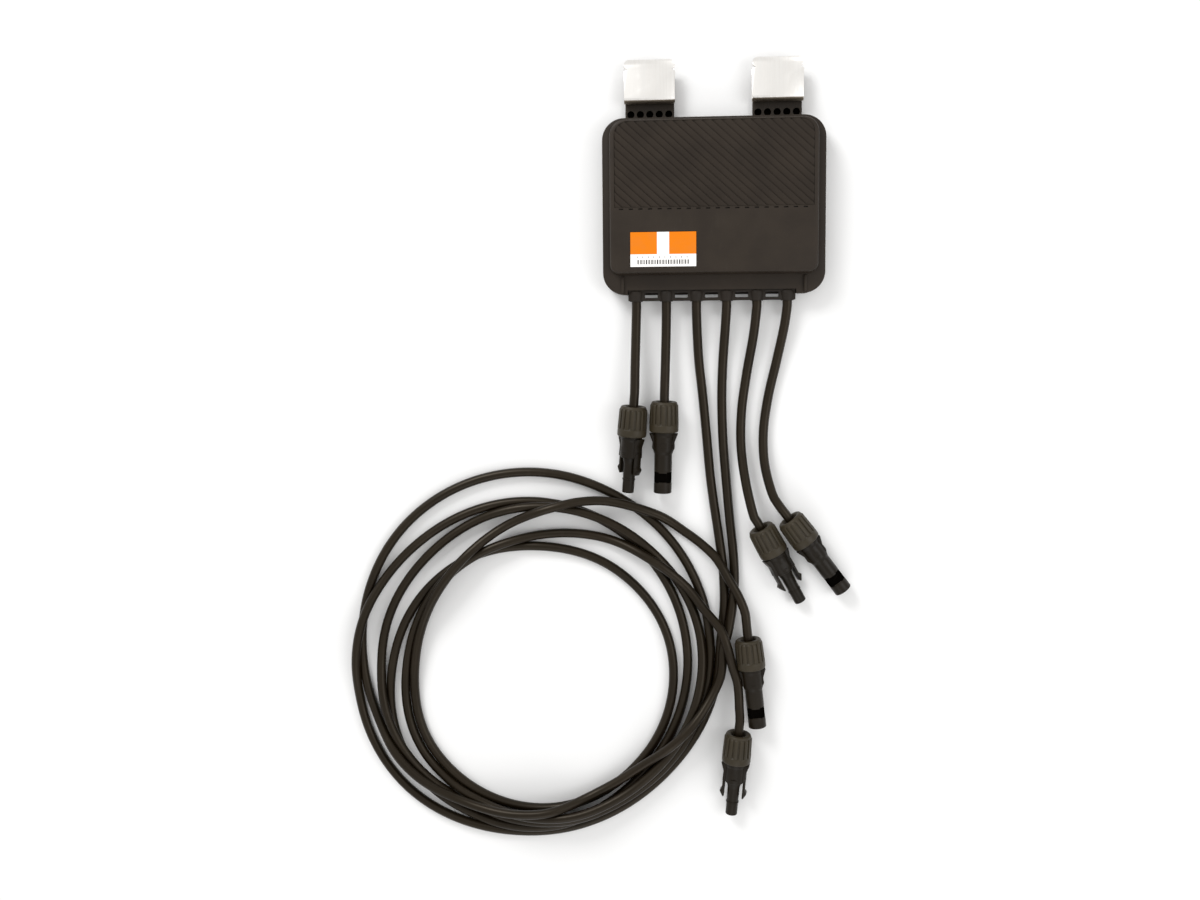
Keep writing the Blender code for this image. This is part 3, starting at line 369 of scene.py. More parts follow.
def add_group(kit: ShaderTree, tree: bpy.types.NodeTree, **values: float) -> bpy.types.Node:
    """Place a shared group in a material.

    Args:
        kit: The material's tree.
        tree: The group.
        **values: Its inputs, with underscores for spaces.

    Returns:
        The group's node.
    """
    made = kit.node("ShaderNodeGroup", node_tree=tree)
    for label, value in values.items():
        made.inputs[label.replace("_", " ")].default_value = value
    return made


@dataclass(frozen=True)
class MouldedFinish:
    """Moulded plastic or rubber with mould grain, a cloudy tone and marks of handling."""

    name: str
    dark: Colour
    light: Colour
    roughness: float
    grain_scale: float = 2200.0
    grain_depth: float = 0.00003
    grain_strength: float = 0.35
    cloud_scale: float = 45.0
    rub_scale: float = 60.0
    rub_amount: float = 0.35
    rub_tone: Colour = (0.060, 0.052, 0.043)
    mark_share: float = 0.35
    uneven_share: float = 0.10
    polish: float = 0.12
    specular: float = 0.25

    def material(self) -> bpy.types.Material:
        """Build the finish's material.

        Returns:
            The material.
        """
        material, kit, shader = start_material(self.name)
        scales = {"Grain_scale": self.grain_scale, "Cloud_scale": self.cloud_scale}
        grain = add_group(kit, GROUPS.mould_grain, **scales)
        wear = add_group(kit, GROUPS.handling, Patch_scale=self.rub_scale, Amount=self.rub_amount)
        tone = kit.blend(grain.outputs["Cloud"], self.dark, self.light)
        both = kit.math("ADD", wear.outputs["Rub"], wear.outputs["Dust"])
        marks = kit.math("MULTIPLY", both, self.mark_share)
        kit.feed(shader.inputs["Base Color"], kit.blend(marks, tone, self.rub_tone))
        uneven = kit.math("MULTIPLY", kit.math("SUBTRACT", grain.outputs["Cloud"], 0.5), self.uneven_share)
        dulled = kit.math("SUBTRACT", uneven, kit.math("MULTIPLY", wear.outputs["Rub"], self.polish))
        kit.feed(shader.inputs["Roughness"], kit.math("ADD", dulled, self.roughness))
        shader.inputs["Specular IOR Level"].default_value = self.specular
        add_bump(kit, shader, grain.outputs["Height"], self.grain_depth, self.grain_strength)
        return material


@dataclass(frozen=True)
class JacketFinish:
    """Extruded cable jacket: smooth, satin, with slow waves from the extruder and light rubs."""

    name: str
    dark: Colour
    light: Colour
    roughness: float
    wave_scale: float = 28.0
    wave_height: float = 2.0
    fine_scale: float = 1300.0
    fine_depth: float = 0.00005
    fine_strength: float = 0.30
    rub_scale: float = 90.0
    rub_amount: float = 0.45
    rub_tone: Colour = (0.055, 0.046, 0.036)
    mark_share: float = 0.30
    uneven_share: float = 0.22
    specular: float = 0.26
    warm_tint: Colour = (1.0, 0.88, 0.72)

    def material(self) -> bpy.types.Material:
        """Build the finish's material.

        Returns:
            The material.
        """
        material, kit, shader = start_material(self.name)
        wear = add_group(kit, GROUPS.handling, Patch_scale=self.rub_scale, Amount=self.rub_amount)
        where = kit.place()
        slow = kit.stretch(kit.noise(where, self.wave_scale, 3.0), 0.3, 0.7, 0.0, 1.0)
        fine = kit.noise(where, self.fine_scale, 3.0, 0.6)
        tone = kit.blend(slow, self.dark, self.light)
        both = kit.math("ADD", wear.outputs["Rub"], wear.outputs["Dust"])
        marks = kit.math("MULTIPLY", both, self.mark_share)
        kit.feed(shader.inputs["Base Color"], kit.blend(marks, tone, self.rub_tone))
        shader.inputs["Specular IOR Level"].default_value = self.specular
        shader.inputs["Specular Tint"].default_value = (*self.warm_tint, 1.0)
        uneven = kit.math("MULTIPLY", kit.math("SUBTRACT", fine, 0.5), self.uneven_share)
        kit.feed(shader.inputs["Roughness"], kit.math("ADD", uneven, self.roughness))
        height = kit.math("ADD", fine, kit.math("MULTIPLY", slow, self.wave_height))
        add_bump(kit, shader, height, self.fine_depth, self.fine_strength)
        return material


@dataclass(frozen=True)
class MetalFinish:
    """Bare metal with rolling marks and scuffs."""

    name: str
    colour: Colour
    dull: Colour
    roughness: float
    line_scale: float = 2600.0
    line_depth: float = 0.000004
    line_strength: float = 0.4
    scuff_scale: float = 120.0
    scuff: float = 0.5
    scratch_share: float = 0.25
    uneven_share: float = 0.08

    def material(self) -> bpy.types.Material:
        """Build the finish's material.

        Returns:
            The material.
        """
        material, kit, shader = start_material(self.name)
        lines = add_group(kit, GROUPS.drawn_lines, Line_scale=self.line_scale)
        wear = add_group(kit, GROUPS.handling, Patch_scale=self.scuff_scale, Amount=self.scuff)
        tone = kit.blend(lines.outputs["Streak"], self.colour, self.dull)
        kit.feed(shader.inputs["Base Color"], kit.blend(wear.outputs["Rub"], tone, self.dull))
        scratched = kit.math("MULTIPLY", wear.outputs["Rub"], self.scratch_share)
        uneven = kit.math("MULTIPLY", lines.outputs["Streak"], self.uneven_share)
        rougher = kit.math("ADD", scratched, uneven)
        kit.feed(shader.inputs["Roughness"], kit.math("ADD", rougher, self.roughness))
        kit.feed(shader.inputs["Metallic"], 1.0)
        add_bump(kit, shader, lines.outputs["Height"], self.line_depth, self.line_strength)
        return material


@dataclass(frozen=True)
class FilmFinish:
    """Printed polyester film: even colour, faint orange peel and a little scuffing."""

    name: str
    colour: Colour
    roughness: float = 0.42
    fading: float = 0.95
    haze: float = 0.008
    patch_scale: float = 160.0
    peel_scale: float = 1400.0
    peel_depth: float = 0.00001
    peel_strength: float = 0.25
    specular: float = 0.15

    def material(self) -> bpy.types.Material:
        """Build the finish's material.

        Returns:
            The material.
        """
        material, kit, shader = start_material(self.name)
        wear = add_group(kit, GROUPS.handling, Patch_scale=180.0, Amount=0.25)
        faded = tuple(min(1.0, c * self.fading + self.haze) for c in self.colour)
        where = kit.place()
        patches = kit.stretch(kit.noise(where, self.patch_scale, 4.0), 0.35, 0.7, 0.0, 1.0)
        kit.feed(shader.inputs["Base Color"], kit.blend(patches, self.colour, faded))
        kit.feed(shader.inputs["Roughness"], kit.math("ADD", wear.outputs["Rub"], self.roughness))
        shader.inputs["Specular IOR Level"].default_value = self.specular
        add_bump(kit, shader, kit.noise(where, self.peel_scale, 2.0), self.peel_depth, self.peel_strength)
        return material


class Finishes:
    """Every finish on the object, made once and looked up by name."""

    def __init__(self) -> None:
        """Make all of the materials."""
        shades = (
            MouldedFinish("case_black", (0.0150, 0.0098, 0.0058), (0.0200, 0.0135, 0.0080), 0.52),
            MouldedFinish("cover_black", (0.0165, 0.0108, 0.0064), (0.0215, 0.0145, 0.0088), 0.50),
            MouldedFinish("seal_black", (0.004, 0.0035, 0.003), (0.007, 0.006, 0.005), 0.80, rub_amount=0.1),
            # Near-black finish for the tongue hole bottoms and the barrel window recesses: painted shade in
            # hollows
            MouldedFinish("hole_black", (0.0015, 0.0012, 0.001), (0.002, 0.0016, 0.0013), 0.90, specular=0.0),
            MouldedFinish("comb_black", (0.0100, 0.0066, 0.0038), (0.0140, 0.0095, 0.0058), 0.58, 3000.0),
            MouldedFinish(
                "nut_olive_black", (0.025, 0.0188, 0.0095), (0.033, 0.025, 0.0135), 0.46, 2600.0,
                rub_amount=0.5,
            ),
            MouldedFinish(
                "coupler_black", (0.007, 0.0046, 0.0018), (0.01, 0.0066, 0.003), 0.40, 2600.0, specular=0.18
            ),
            JacketFinish("jacket_black", (0.0058, 0.0036, 0.0015), (0.0095, 0.0062, 0.0030), 0.36),
            MetalFinish("clip_steel", (0.93, 0.91, 0.88), (0.84, 0.82, 0.79), 0.30),
            # Darker tan steel for the clips' bend, edges and barbs: painted shade and painted reflection
            MetalFinish("clip_bend_painted_shade", (0.34, 0.29, 0.23), (0.27, 0.23, 0.18), 0.45),
            MetalFinish("screw_steel", (0.62, 0.61, 0.59), (0.45, 0.44, 0.42), 0.30),
            MetalFinish("contact_tin", (0.76, 0.74, 0.70), (0.60, 0.58, 0.54), 0.26),
            MetalFinish("spreader_aluminium", (0.78, 0.79, 0.80), (0.66, 0.67, 0.68), 0.36, 1800.0),
            FilmFinish("label_orange", (0.72, 0.185, 0.002)),
            FilmFinish("label_white", (0.90, 0.885, 0.86)),
            FilmFinish("label_ink", (0.022, 0.020, 0.018)),
            MouldedFinish("board_green", (0.012, 0.110, 0.045), (0.020, 0.150, 0.062), 0.38, 1500.0),
            MouldedFinish("package_black", (0.012, 0.012, 0.013), (0.020, 0.020, 0.021), 0.50, 3500.0),
            MouldedFinish("ferrite_grey", (0.060, 0.060, 0.063), (0.095, 0.095, 0.098), 0.66, 1800.0),
            MouldedFinish("capacitor_blue", (0.035, 0.085, 0.260), (0.050, 0.110, 0.320), 0.34, 3200.0),
            MouldedFinish("terminal_green", (0.060, 0.190, 0.075), (0.085, 0.240, 0.100), 0.45, 2800.0),
        )
        self._materials = {shade.name: shade.material() for shade in shades}

    def __getitem__(self, name: str) -> bpy.types.Material:
        """Look a material up by its finish's name."""
        return self._materials[name]


# Making meshes.


def rounded_rectangle(
    width: float, length: float, radii: Sequence[float], centre: Point2 = (0.0, 0.0), steps: int = 12
) -> list[Point2]:
    """Outline of a rectangle with round corners, anticlockwise.

    Args:
        width: Size along X.
        length: Size along Y.
        radii: Corner radii at +X+Y, -X+Y, -X-Y and +X-Y.
        centre: Its middle.
        steps: Straight pieces in each corner.

    Returns:
        The outline's points.
    """
    points = []
    for quarter, (sx, sy) in enumerate(((1, 1), (-1, 1), (-1, -1), (1, -1))):
        radius = radii[quarter]
        corner_x = centre[0] + sx * (width / 2 - radius)
        corner_y = centre[1] + sy * (length / 2 - radius)
        for step in range(steps + 1):
            angle = math.pi / 2 * (quarter + step / steps)
            points.append((corner_x + radius * math.cos(angle), corner_y + radius * math.sin(angle)))
    return points


def plain_mesh(bm: bmesh.types.BMesh) -> bpy.types.Mesh:
    """Turn a bmesh into a mesh as it is.

    Args:
        bm: The shape, which is freed.

    Returns:
        The mesh.
    """
    mesh = bpy.data.meshes.new("bench")
    bm.to_mesh(mesh)
    bm.free()
    return mesh


def closed_mesh(bm: bmesh.types.BMesh) -> bpy.types.Mesh:
    """Turn a bmesh of one closed shape into a mesh with its faces outwards.

    Args:
        bm: The shape, which is freed.

    Returns:
        The mesh.
    """
    bmesh.ops.remove_doubles(bm, verts=bm.verts[:], dist=1e-6)
    bmesh.ops.recalc_face_normals(bm, faces=bm.faces[:])
    return plain_mesh(bm)


def linked(name: str, data: bpy.types.ID) -> bpy.types.Object:
    """Put a new object in the scene.

    Args:
        name: Its name.
        data: Its mesh, curve, lamp or camera.

    Returns:
        The object.
    """
    thing = bpy.data.objects.new(name, data)
    bpy.context.scene.collection.objects.link(thing)
    return thing


def skinned(rings: Sequence[Sequence[Point3]]) -> bpy.types.Mesh:
    """A closed shape through rings that have the same number of points.

    Args:
        rings: The rings, from one end to the other.

    Returns:
        The shape's mesh.
    """
    bm = bmesh.new()
    hoops = [[bm.verts.new(point) for point in ring] for ring in rings]
    bm.faces.new(hoops[0][::-1])
    bm.faces.new(hoops[-1])
    for first, second in zip(hoops, hoops[1:]):
        for i in range(len(first)):
            j = (i + 1) % len(first)
            bm.faces.new((first[i], first[j], second[j], second[i]))
    return closed_mesh(bm)


def loft(bottom: Sequence[Point2], top: Sequence[Point2], low: float, high: float) -> bpy.types.Mesh:
    """A closed block between two outlines with the same number of points.

    Args:
        bottom: Outline at the low end.
        top: Outline at the high end.
        low: Height of the bottom.
        high: Height of the top.

    Returns:
        The block's mesh.
    """
    return skinned([[(x, y, low) for x, y in bottom], [(x, y, high) for x, y in top]])


def block(low: Point3, high: Point3) -> bpy.types.Mesh:
    """A box between two corners.

    Args:
        low: Lowest corner.
        high: Highest corner.

    Returns:
        The box's mesh.
    """
    outline = [(low[0], low[1]), (high[0], low[1]), (high[0], high[1]), (low[0], high[1])]
    return loft(outline, outline, low[2], high[2])


def block_pair(low: Point3, high: Point3, axis: int) -> list[bpy.types.Mesh]:
    """The same box on both sides of the middle.

    Args:
        low: Lowest corner of the box on the positive side.
        high: Its highest corner.
        axis: The axis it is mirrored along, 0 for X or 1 for Y.

    Returns:
        The box on the negative side, then the one on the positive side.
    """
    near, far = list(low), list(high)
    near[axis], far[axis] = -high[axis], -low[axis]
    return [block(tuple(near), tuple(far)), block(low, high)]


def lathe(profile: Sequence[Point2], segments: int = 48) -> bpy.types.Mesh:
    """Turn a profile round Z. A profile that starts and ends off the axis is closed into a ring.

    Args:
        profile: Points as (radius, height).
        segments: Steps round the axis.

    Returns:
        The closed mesh.
    """
    bm = bmesh.new()
    rings = []
    for radius, height in profile:
        if radius < 1e-7:
            rings.append([bm.verts.new((0.0, 0.0, height))])
            continue
        angles = [math.tau * i / segments for i in range(segments)]
        round_it = [(radius * math.cos(a), radius * math.sin(a), height) for a in angles]
        rings.append([bm.verts.new(point) for point in round_it])
    pairs = list(zip(rings, rings[1:]))
    if len(rings[0]) > 1:
        pairs.append((rings[-1], rings[0]))
    for first, second in pairs:
        for i in range(segments):
            j = (i + 1) % segments
            corners = [first[i % len(first)], first[j % len(first)]]
            corners += [second[j % len(second)], second[i % len(second)]]
            face = list(dict.fromkeys(corners))
            if len(face) > 2:
                bm.faces.new(face)
    return closed_mesh(bm)


def rounded_profile(points: Sequence[Point2], radius: float, steps: int = 4) -> list[Point2]:
    """Round the corners of an open profile.

    Args:
        points: The profile's corners.
        radius: The largest rounding, cut down on short sides.
        steps: Pieces in each corner.

    Returns:
        The profile with arcs at its inner corners.
    """
    knots = [Vector(p) for p in points]
    made = [tuple(knots[0])]
    for before, corner, after in zip(knots, knots[1:], knots[2:]):
        back, ahead = before - corner, after - corner
        reach = min(radius, back.length * 0.45, ahead.length * 0.45)
        start, stop = corner + back.normalized() * reach, corner + ahead.normalized() * reach
        for step in range(steps + 1):
            t = step / steps
            made.append(tuple((1 - t) ** 2 * start + 2 * t * (1 - t) * corner + t**2 * stop))
    made.append(tuple(knots[-1]))
    return made


def placed(mesh: bpy.types.Mesh, matrix: Matrix) -> bpy.types.Mesh:
    """Move a mesh, keeping its faces outwards.

    Args:
        mesh: The mesh, which is changed.
        matrix: Where it goes.

    Returns:
        The same mesh.
    """
    mesh.transform(matrix)
    if matrix.determinant() < 0:
        mesh.flip_normals()
    return mesh


class Bench:
    """Shapes meshes with modifiers on throwaway objects."""

    @staticmethod
    def lay(mesh: bpy.types.Mesh) -> bpy.types.Object:
        """Put a mesh in the scene as a throwaway object."""
        return linked("bench", mesh)

    @staticmethod
    def take(thing: bpy.types.Object, *tools: bpy.types.Object) -> bpy.types.Mesh:
        """Read a throwaway object's finished mesh and clear the bench.

        Args:
            thing: The object with its modifiers.
            *tools: Other throwaway objects that they used.

        Returns:
            The plain mesh.
        """
        bpy.context.view_layer.update()
        evaluated = thing.evaluated_get(bpy.context.evaluated_depsgraph_get())
        mesh = bpy.data.meshes.new_from_object(evaluated)
        thing.modifiers.clear()
        for used in (thing, *tools):
            bpy.data.objects.remove(used, do_unlink=True)
        return mesh

    @classmethod
    def bevelled(
        cls, mesh: bpy.types.Mesh, width: float, segments: int = 3, angle: float = 35.0
    ) -> bpy.types.Mesh:
        """Round the sharp edges.

        Args:
            mesh: The shape.
            width: The rounding's width.
            segments: Its steps.
            angle: The least fold in degrees that counts as sharp.

        Returns:
            The new mesh.
        """
        thing = cls.lay(mesh)
        bevel = thing.modifiers.new("round", "BEVEL")
        bevel.width = width
        bevel.segments = segments
        bevel.limit_method = "ANGLE"
        bevel.angle_limit = math.radians(angle)
        return cls.take(thing)

    @classmethod
    def combined(cls, mesh: bpy.types.Mesh, other: bpy.types.Mesh, operation: str) -> bpy.types.Mesh:
        """Join, cut or trim a shape with another.

        Args:
            mesh: The shape.
            other: What it is worked with.
            operation: The Boolean modifier's operation.

        Returns:
            The new mesh.
        """
        thing, tool = cls.lay(mesh), cls.lay(other)
        step = thing.modifiers.new("carve", "BOOLEAN")
        step.operation, step.solver, step.object = operation, "EXACT", tool
        return cls.take(thing, tool)

    @classmethod
    def carved(
        cls, mesh: bpy.types.Mesh, joins: Iterable[bpy.types.Mesh] = (), cuts: Iterable[bpy.types.Mesh] = ()
    ) -> bpy.types.Mesh:
        """Add shapes to a shape, then take others out of it.

        Args:
            mesh: The shape.
            joins: What is added, in order.
            cuts: What is taken away afterwards.

        Returns:
            The new mesh.
        """
        for operation, group in (("UNION", joins), ("DIFFERENCE", cuts)):
            for other in group:
                mesh = cls.combined(mesh, other, operation)
        return mesh


def merged(*meshes: bpy.types.Mesh) -> bpy.types.Mesh:
    """Put several meshes into one, as they are.

    Args:
        *meshes: The shapes.

    Returns:
        One mesh with all of them.
    """
    bm = bmesh.new()
    for mesh in meshes:
        bm.from_mesh(mesh)
    return plain_mesh(bm)


# Geometry Nodes for what repeats.


class Repeater:
    """Geometry Nodes trees that repeat one template, each built once."""

    def __init__(self) -> None:
        """Build the three trees."""
        self._row = self._build("repeat_in_row", {"Count": "NodeSocketInt", "Step": "NodeSocketVector"})
        self._ring = self._build("repeat_in_ring", {"Count": "NodeSocketInt", "Sweep": "NodeSocketFloat"})
        self._spots = self._build("repeat_at_spots", {"Template": "NodeSocketObject"})

    def _build(self, name: str, inputs: dict[str, str]) -> bpy.types.NodeTree:
        """Build one tree, which ends in Realize Instances and Set Material.

        Args:
            name: The tree's name, which says how its instances are placed.
            inputs: Names and socket types of its inputs, besides Geometry and Material.

        Returns:
            The tree.
        """
        tree = bpy.data.node_groups.new(name, "GeometryNodeTree")
        tree.interface.new_socket("Geometry", in_out="INPUT", socket_type="NodeSocketGeometry")
        for label, kind in {**inputs, "Material": "NodeSocketMaterial"}.items():
            tree.interface.new_socket(label, in_out="INPUT", socket_type=kind)
        tree.interface.new_socket("Geometry", in_out="OUTPUT", socket_type="NodeSocketGeometry")
        nodes, links = tree.nodes, tree.links
        given, out = nodes.new("NodeGroupInput"), nodes.new("NodeGroupOutput")
        stamp = nodes.new("GeometryNodeInstanceOnPoints")
        if "Template" in inputs:
            info = nodes.new("GeometryNodeObjectInfo")
            links.new(given.outputs["Template"], info.inputs["Object"])
            links.new(info.outputs["Geometry"], stamp.inputs["Instance"])
            links.new(given.outputs["Geometry"], stamp.inputs["Points"])
        else:
            line = nodes.new("GeometryNodeMeshLine")
            links.new(given.outputs["Count"], line.inputs["Count"])
            links.new(line.outputs[0], stamp.inputs["Points"])
            links.new(given.outputs["Geometry"], stamp.inputs["Instance"])
            if "Step" in inputs:
                links.new(given.outputs["Step"], line.inputs["Offset"])
            else:
                self._turn_each(tree, given, line, stamp)
        real, paint = nodes.new("GeometryNodeRealizeInstances"), nodes.new("GeometryNodeSetMaterial")
        links.new(stamp.outputs[0], real.inputs[0])
        links.new(real.outputs[0], paint.inputs["Geometry"])
        links.new(given.outputs["Material"], paint.inputs["Material"])
        links.new(paint.outputs[0], out.inputs[0])
        return tree

    @staticmethod
    def _turn_each(
        tree: bpy.types.NodeTree, given: bpy.types.Node, line: bpy.types.Node, stamp: bpy.types.Node
    ) -> None:
        """Turn each instance about Z by its share of the sweep.

        Args:
            tree: The tree.
            given: Its input node.
            line: The node that makes the points.
            stamp: The node that places the instances.
        """
        line.inputs["Offset"].default_value = (0.0, 0.0, 0.0)
        index, turn = tree.nodes.new("GeometryNodeInputIndex"), tree.nodes.new("ShaderNodeCombineXYZ")
        share, angle = tree.nodes.new("ShaderNodeMath"), tree.nodes.new("ShaderNodeMath")
        share.operation, angle.operation = "DIVIDE", "MULTIPLY"
        tree.links.new(index.outputs[0], share.inputs[0])
        tree.links.new(given.outputs["Count"], share.inputs[1])
        tree.links.new(share.outputs[0], angle.inputs[0])
        tree.links.new(given.outputs["Sweep"], angle.inputs[1])
        tree.links.new(angle.outputs[0], turn.inputs["Z"])
        tree.links.new(turn.outputs[0], stamp.inputs["Rotation"])

    @staticmethod
    def _run(
        mesh: bpy.types.Mesh, tree: bpy.types.NodeTree, values: dict[str, object], *tools: bpy.types.Object
    ) -> bpy.types.Mesh:
        """Run a tree on a mesh and keep the result as a plain mesh.

        Args:
            mesh: The modifier's own geometry.
            tree: The tree.
            values: Its inputs by name.
            *tools: Throwaway objects it reads.

        Returns:
            The plain mesh.
        """
        thing = Bench.lay(mesh)
        modifier = thing.modifiers.new("repeat", "NODES")
        modifier.node_group = tree
        sockets = {s.name: s.identifier for s in tree.interface.items_tree if s.in_out == "INPUT"}
        for label, value in values.items():
            modifier[sockets[label]] = value
        return Bench.take(thing, *tools)

    def row(
        self, mesh: bpy.types.Mesh, count: int, step: Point3, material: bpy.types.Material
    ) -> bpy.types.Mesh:
        """Repeat a shape in a straight row.

        Args:
            mesh: The first one, in its place.
            count: How many there are.
            step: From one to the next.
            material: Their finish.

        Returns:
            All of them as one mesh.
        """
        return self._run(mesh, self._row, {"Count": count, "Step": step, "Material": material})

    def ring(self, mesh: bpy.types.Mesh, count: int, material: bpy.types.Material) -> bpy.types.Mesh:
        """Repeat a shape round the Z axis.

        Args:
            mesh: The first one, in its place.
            count: How many there are.
            material: Their finish.

        Returns:
            All of them as one mesh.
        """
        return self._run(mesh, self._ring, {"Count": count, "Sweep": math.tau, "Material": material})

    def at(
        self, mesh: bpy.types.Mesh, spots: Sequence[Point3], material: bpy.types.Material
    ) -> bpy.types.Mesh:
        """Repeat a shape at given spots.

        Args:
            mesh: The shape, about the origin.
            spots: Where each one goes.
            material: Their finish.

        Returns:
            All of them as one mesh.
        """
        points = bpy.data.meshes.new("bench")
        points.from_pydata([tuple(s) for s in spots], [], [])
        template = Bench.lay(mesh)
        return self._run(points, self._spots, {"Template": template, "Material": material}, template)


# Putting pieces on show.


@dataclass
class Shop:
    """What every sub-assembly needs: the loaded frame, the finishes and the repeater."""

    frame: dict
    finishes: Finishes
    repeater: Repeater

    def show(
        self,
        name: str,
        mesh: bpy.types.Mesh,
        finish: str | Sequence[str],
        body: str,
        slot: Slot,
        replaces: Sequence[str] = (),
        smooth_angle: float = 32.0,
    ) -> bpy.types.Object:
        """Show a finished mesh as a piece.

        Args:
            name: The piece's name.
            mesh: Its mesh, in its place.
            finish: Its finish, or a finish for each material index.
            body: The CAD body it moves with.
            slot: The record's slot it stands for. Not used.
            replaces: CAD nodes it stands for.
            smooth_angle: Folds under this many degrees are shaded smooth.

        Returns:
            The piece.
        """
        mesh.name = name
        fields = [face.material_index for face in mesh.polygons]
        mesh.materials.clear()
        for each in [finish] if isinstance(finish, str) else finish:
            mesh.materials.append(self.finishes[each])
        mesh.polygons.foreach_set("material_index", [0] * len(fields) if isinstance(finish, str) else fields)
        mesh.polygons.foreach_set("use_smooth", [True] * len(mesh.polygons))
        mesh.set_sharp_from_angle(angle=math.radians(smooth_angle))
        piece = linked(name, mesh)
        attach(piece, body)
        if replaces:
            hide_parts(*replaces)
        log.info("%s: %d faces on %s", name, len(mesh.polygons), body)
        return piece

    def dress(self, node: str, finish: str) -> None:
        """Give a carried-over CAD node its finish.

        Args:
            node: The node's name.
            finish: The finish's name.
        """
        thing = self.frame["nodes"][node]
        for place in thing.material_slots:
            place.material = self.finishes[finish]
        if not thing.material_slots:
            thing.data.materials.append(self.finishes[finish])
        log.info("%s: dressed in %s", node, finish)


# The case.


@dataclass
class Case:
    """The two shells, their seal, label and screws."""

    shop: Shop
    width: float = 0.1397
    length: float = 0.1100
    top_y: float = 0.0394
    rim_z: float = 0.0070
    seam_z: float = 0.0086
    shoulder_z: float = 0.0130
    height: float = 0.0229
    wall: float = 0.0026
    cover_wall: float = 0.0020
    floor: float = 0.0022
    corner: float = 0.0137
    dome_width: float = 0.1312
    dome_length: float = 0.0965
    dome_inset: float = 0.0015
    dome_radii: tuple[float, ...] = (0.0105, 0.0105, 0.0068, 0.0068)
    draft: float = 0.0012
    screw_x: float = 0.0570
    screw_ys: Point2 = (0.0300, -0.0510)
    boss_radius: float = 0.0034
    pilot_radius: float = 0.00175
    pilot_top: float = 0.0175
    sink_radius: float = 0.0031
    sink_depth: float = 0.0018
    post_x: float = 0.0490
    post_ys: Point2 = (0.0240, -0.0450)
    post_radius: float = 0.0025
    post_top: float = 0.0057
    shelf_low: Point3 = (-0.0568, -0.0720, 0.0122)
    shelf_high: Point3 = (0.0568, -0.0586, 0.0150)
    shelf_rib_low: Point3 = (0.0565, -0.0693, 0.0120)
    shelf_rib_high: Point3 = (0.0583, -0.0592, 0.0143)
    comb_notch_top: float = 0.0140
    label_low: Point2 = (-0.0519, -0.0536)
    label_size: Point2 = (0.0410, 0.0214)
    label_edge: float = 0.0003
    label_film: float = 0.00027
    label_rows: tuple[float, ...] = (0.0, 0.07, 0.20, 0.245, 0.300, 0.36, 1.0)
    label_band: Point2 = (0.405, 0.590)
    bar_span: Point2 = (0.10, 0.90)
    bar_count: int = 34
    field_depth: float = 0.0013
    field_corners: tuple[float, ...] = (0.0085, 0.0085, 0.0006, 0.0006)
    dash_count: int = 20
    louvre_pitch: float = 0.0060
    louvre_lap: float = 0.00022
    louvre_foot: float = 0.0009
    louvre_crest: float = 0.86
    flush: float = 0.00002
    louvre_angle: float = math.radians(42)
    louvre_low: Point2 = (-0.0618, -0.0170)
    louvre_high: Point2 = (0.0618, 0.0358)

    @property
    def middle_y(self) -> float:
        """The case's middle along Y."""
        return self.top_y - self.length / 2

    @property
    def dome_y(self) -> float:
        """The dome's middle along Y."""
        return self.top_y - self.dome_inset - self.dome_length / 2

    def _shell(self, inset: float, low: float, high: float) -> bpy.types.Mesh:
        """A block with the case's outline.

        Args:
            inset: How far it lies inside the outline.
            low: Its lower height.
            high: Its upper height.

        Returns:
            The mesh.
        """
        size = (self.width - 2 * inset, self.length - 2 * inset)
        outline = rounded_rectangle(*size, [self.corner - inset] * 4, (0.0, self.middle_y), 14)
        return loft(outline, outline, low, high)

    def _dome(self, inset: float, low: float, high: float) -> bpy.types.Mesh:
        """A block with the dome's outline and its draft.

        Args:
            inset: How far it lies inside the outline.
            low: Its lower height.
            high: Its upper height.

        Returns:
            The mesh.
        """
        outlines = []
        for extra in (inset, inset + self.draft):
            radii = [r - extra for r in self.dome_radii]
            width, length = self.dome_width - 2 * extra, self.dome_length - 2 * extra
            outlines.append(rounded_rectangle(width, length, radii, (0.0, self.dome_y), 14))
        return loft(*outlines, low, high)

    def _rods(self, radius: float, low: float, high: float, spots: Iterable[Point2]) -> list[bpy.types.Mesh]:
        """Upright rods at several places.

        Args:
            radius: Their radius.
            low: Their lower height.
            high: Their upper height.
            spots: Where they stand.

        Returns:
            One mesh for each.
        """
        made = []
        for x, y in spots:
            rod = lathe([(0.0, high), (radius, high), (radius, low), (0.0, low)], 32)
            made.append(placed(rod, Matrix.Translation((x, y, 0.0))))
        return made

    @property
    def screw_spots(self) -> list[Point2]:
        """Where the case screws stand."""
        return [(side * self.screw_x, y) for side in (-1, 1) for y in self.screw_ys]

    def casing(self, tongues: "Tongues", comb: "Comb") -> None:
        """Show the back shell.

        Args:
            tongues: The clips' tongues, which are one with it.
            comb: The cable comb, which its wall leaves room for.
        """
        body = Bench.bevelled(self._shell(0.0, 0.0, self.rim_z), 0.0005)
        body = Bench.carved(body, cuts=[self._shell(self.wall, self.floor, self.rim_z + MM)])
        post_spots = [(side * self.post_x, y) for side in (-1, 1) for y in self.post_ys]
        posts = self._rods(self.post_radius, self.floor / 2, self.post_top, post_spots)
        bosses = self._rods(self.boss_radius, self.floor / 2, self.rim_z, self.screw_spots)
        holes = self._rods(self.pilot_radius, -MM, self.rim_z + MM, self.screw_spots)
        sinks = self._rods(self.sink_radius, -MM, self.sink_depth, self.screw_spots)
        cuts = [comb.notch(self.rim_z + MM), *holes, *sinks, *tongues.holes()]
        body = Bench.carved(body, [*bosses, *posts, *tongues.plates()], cuts)
        self.shop.show("back_shell", body, "case_black", ENCLOSURE, Slot.CASE, ["rear_casing"])

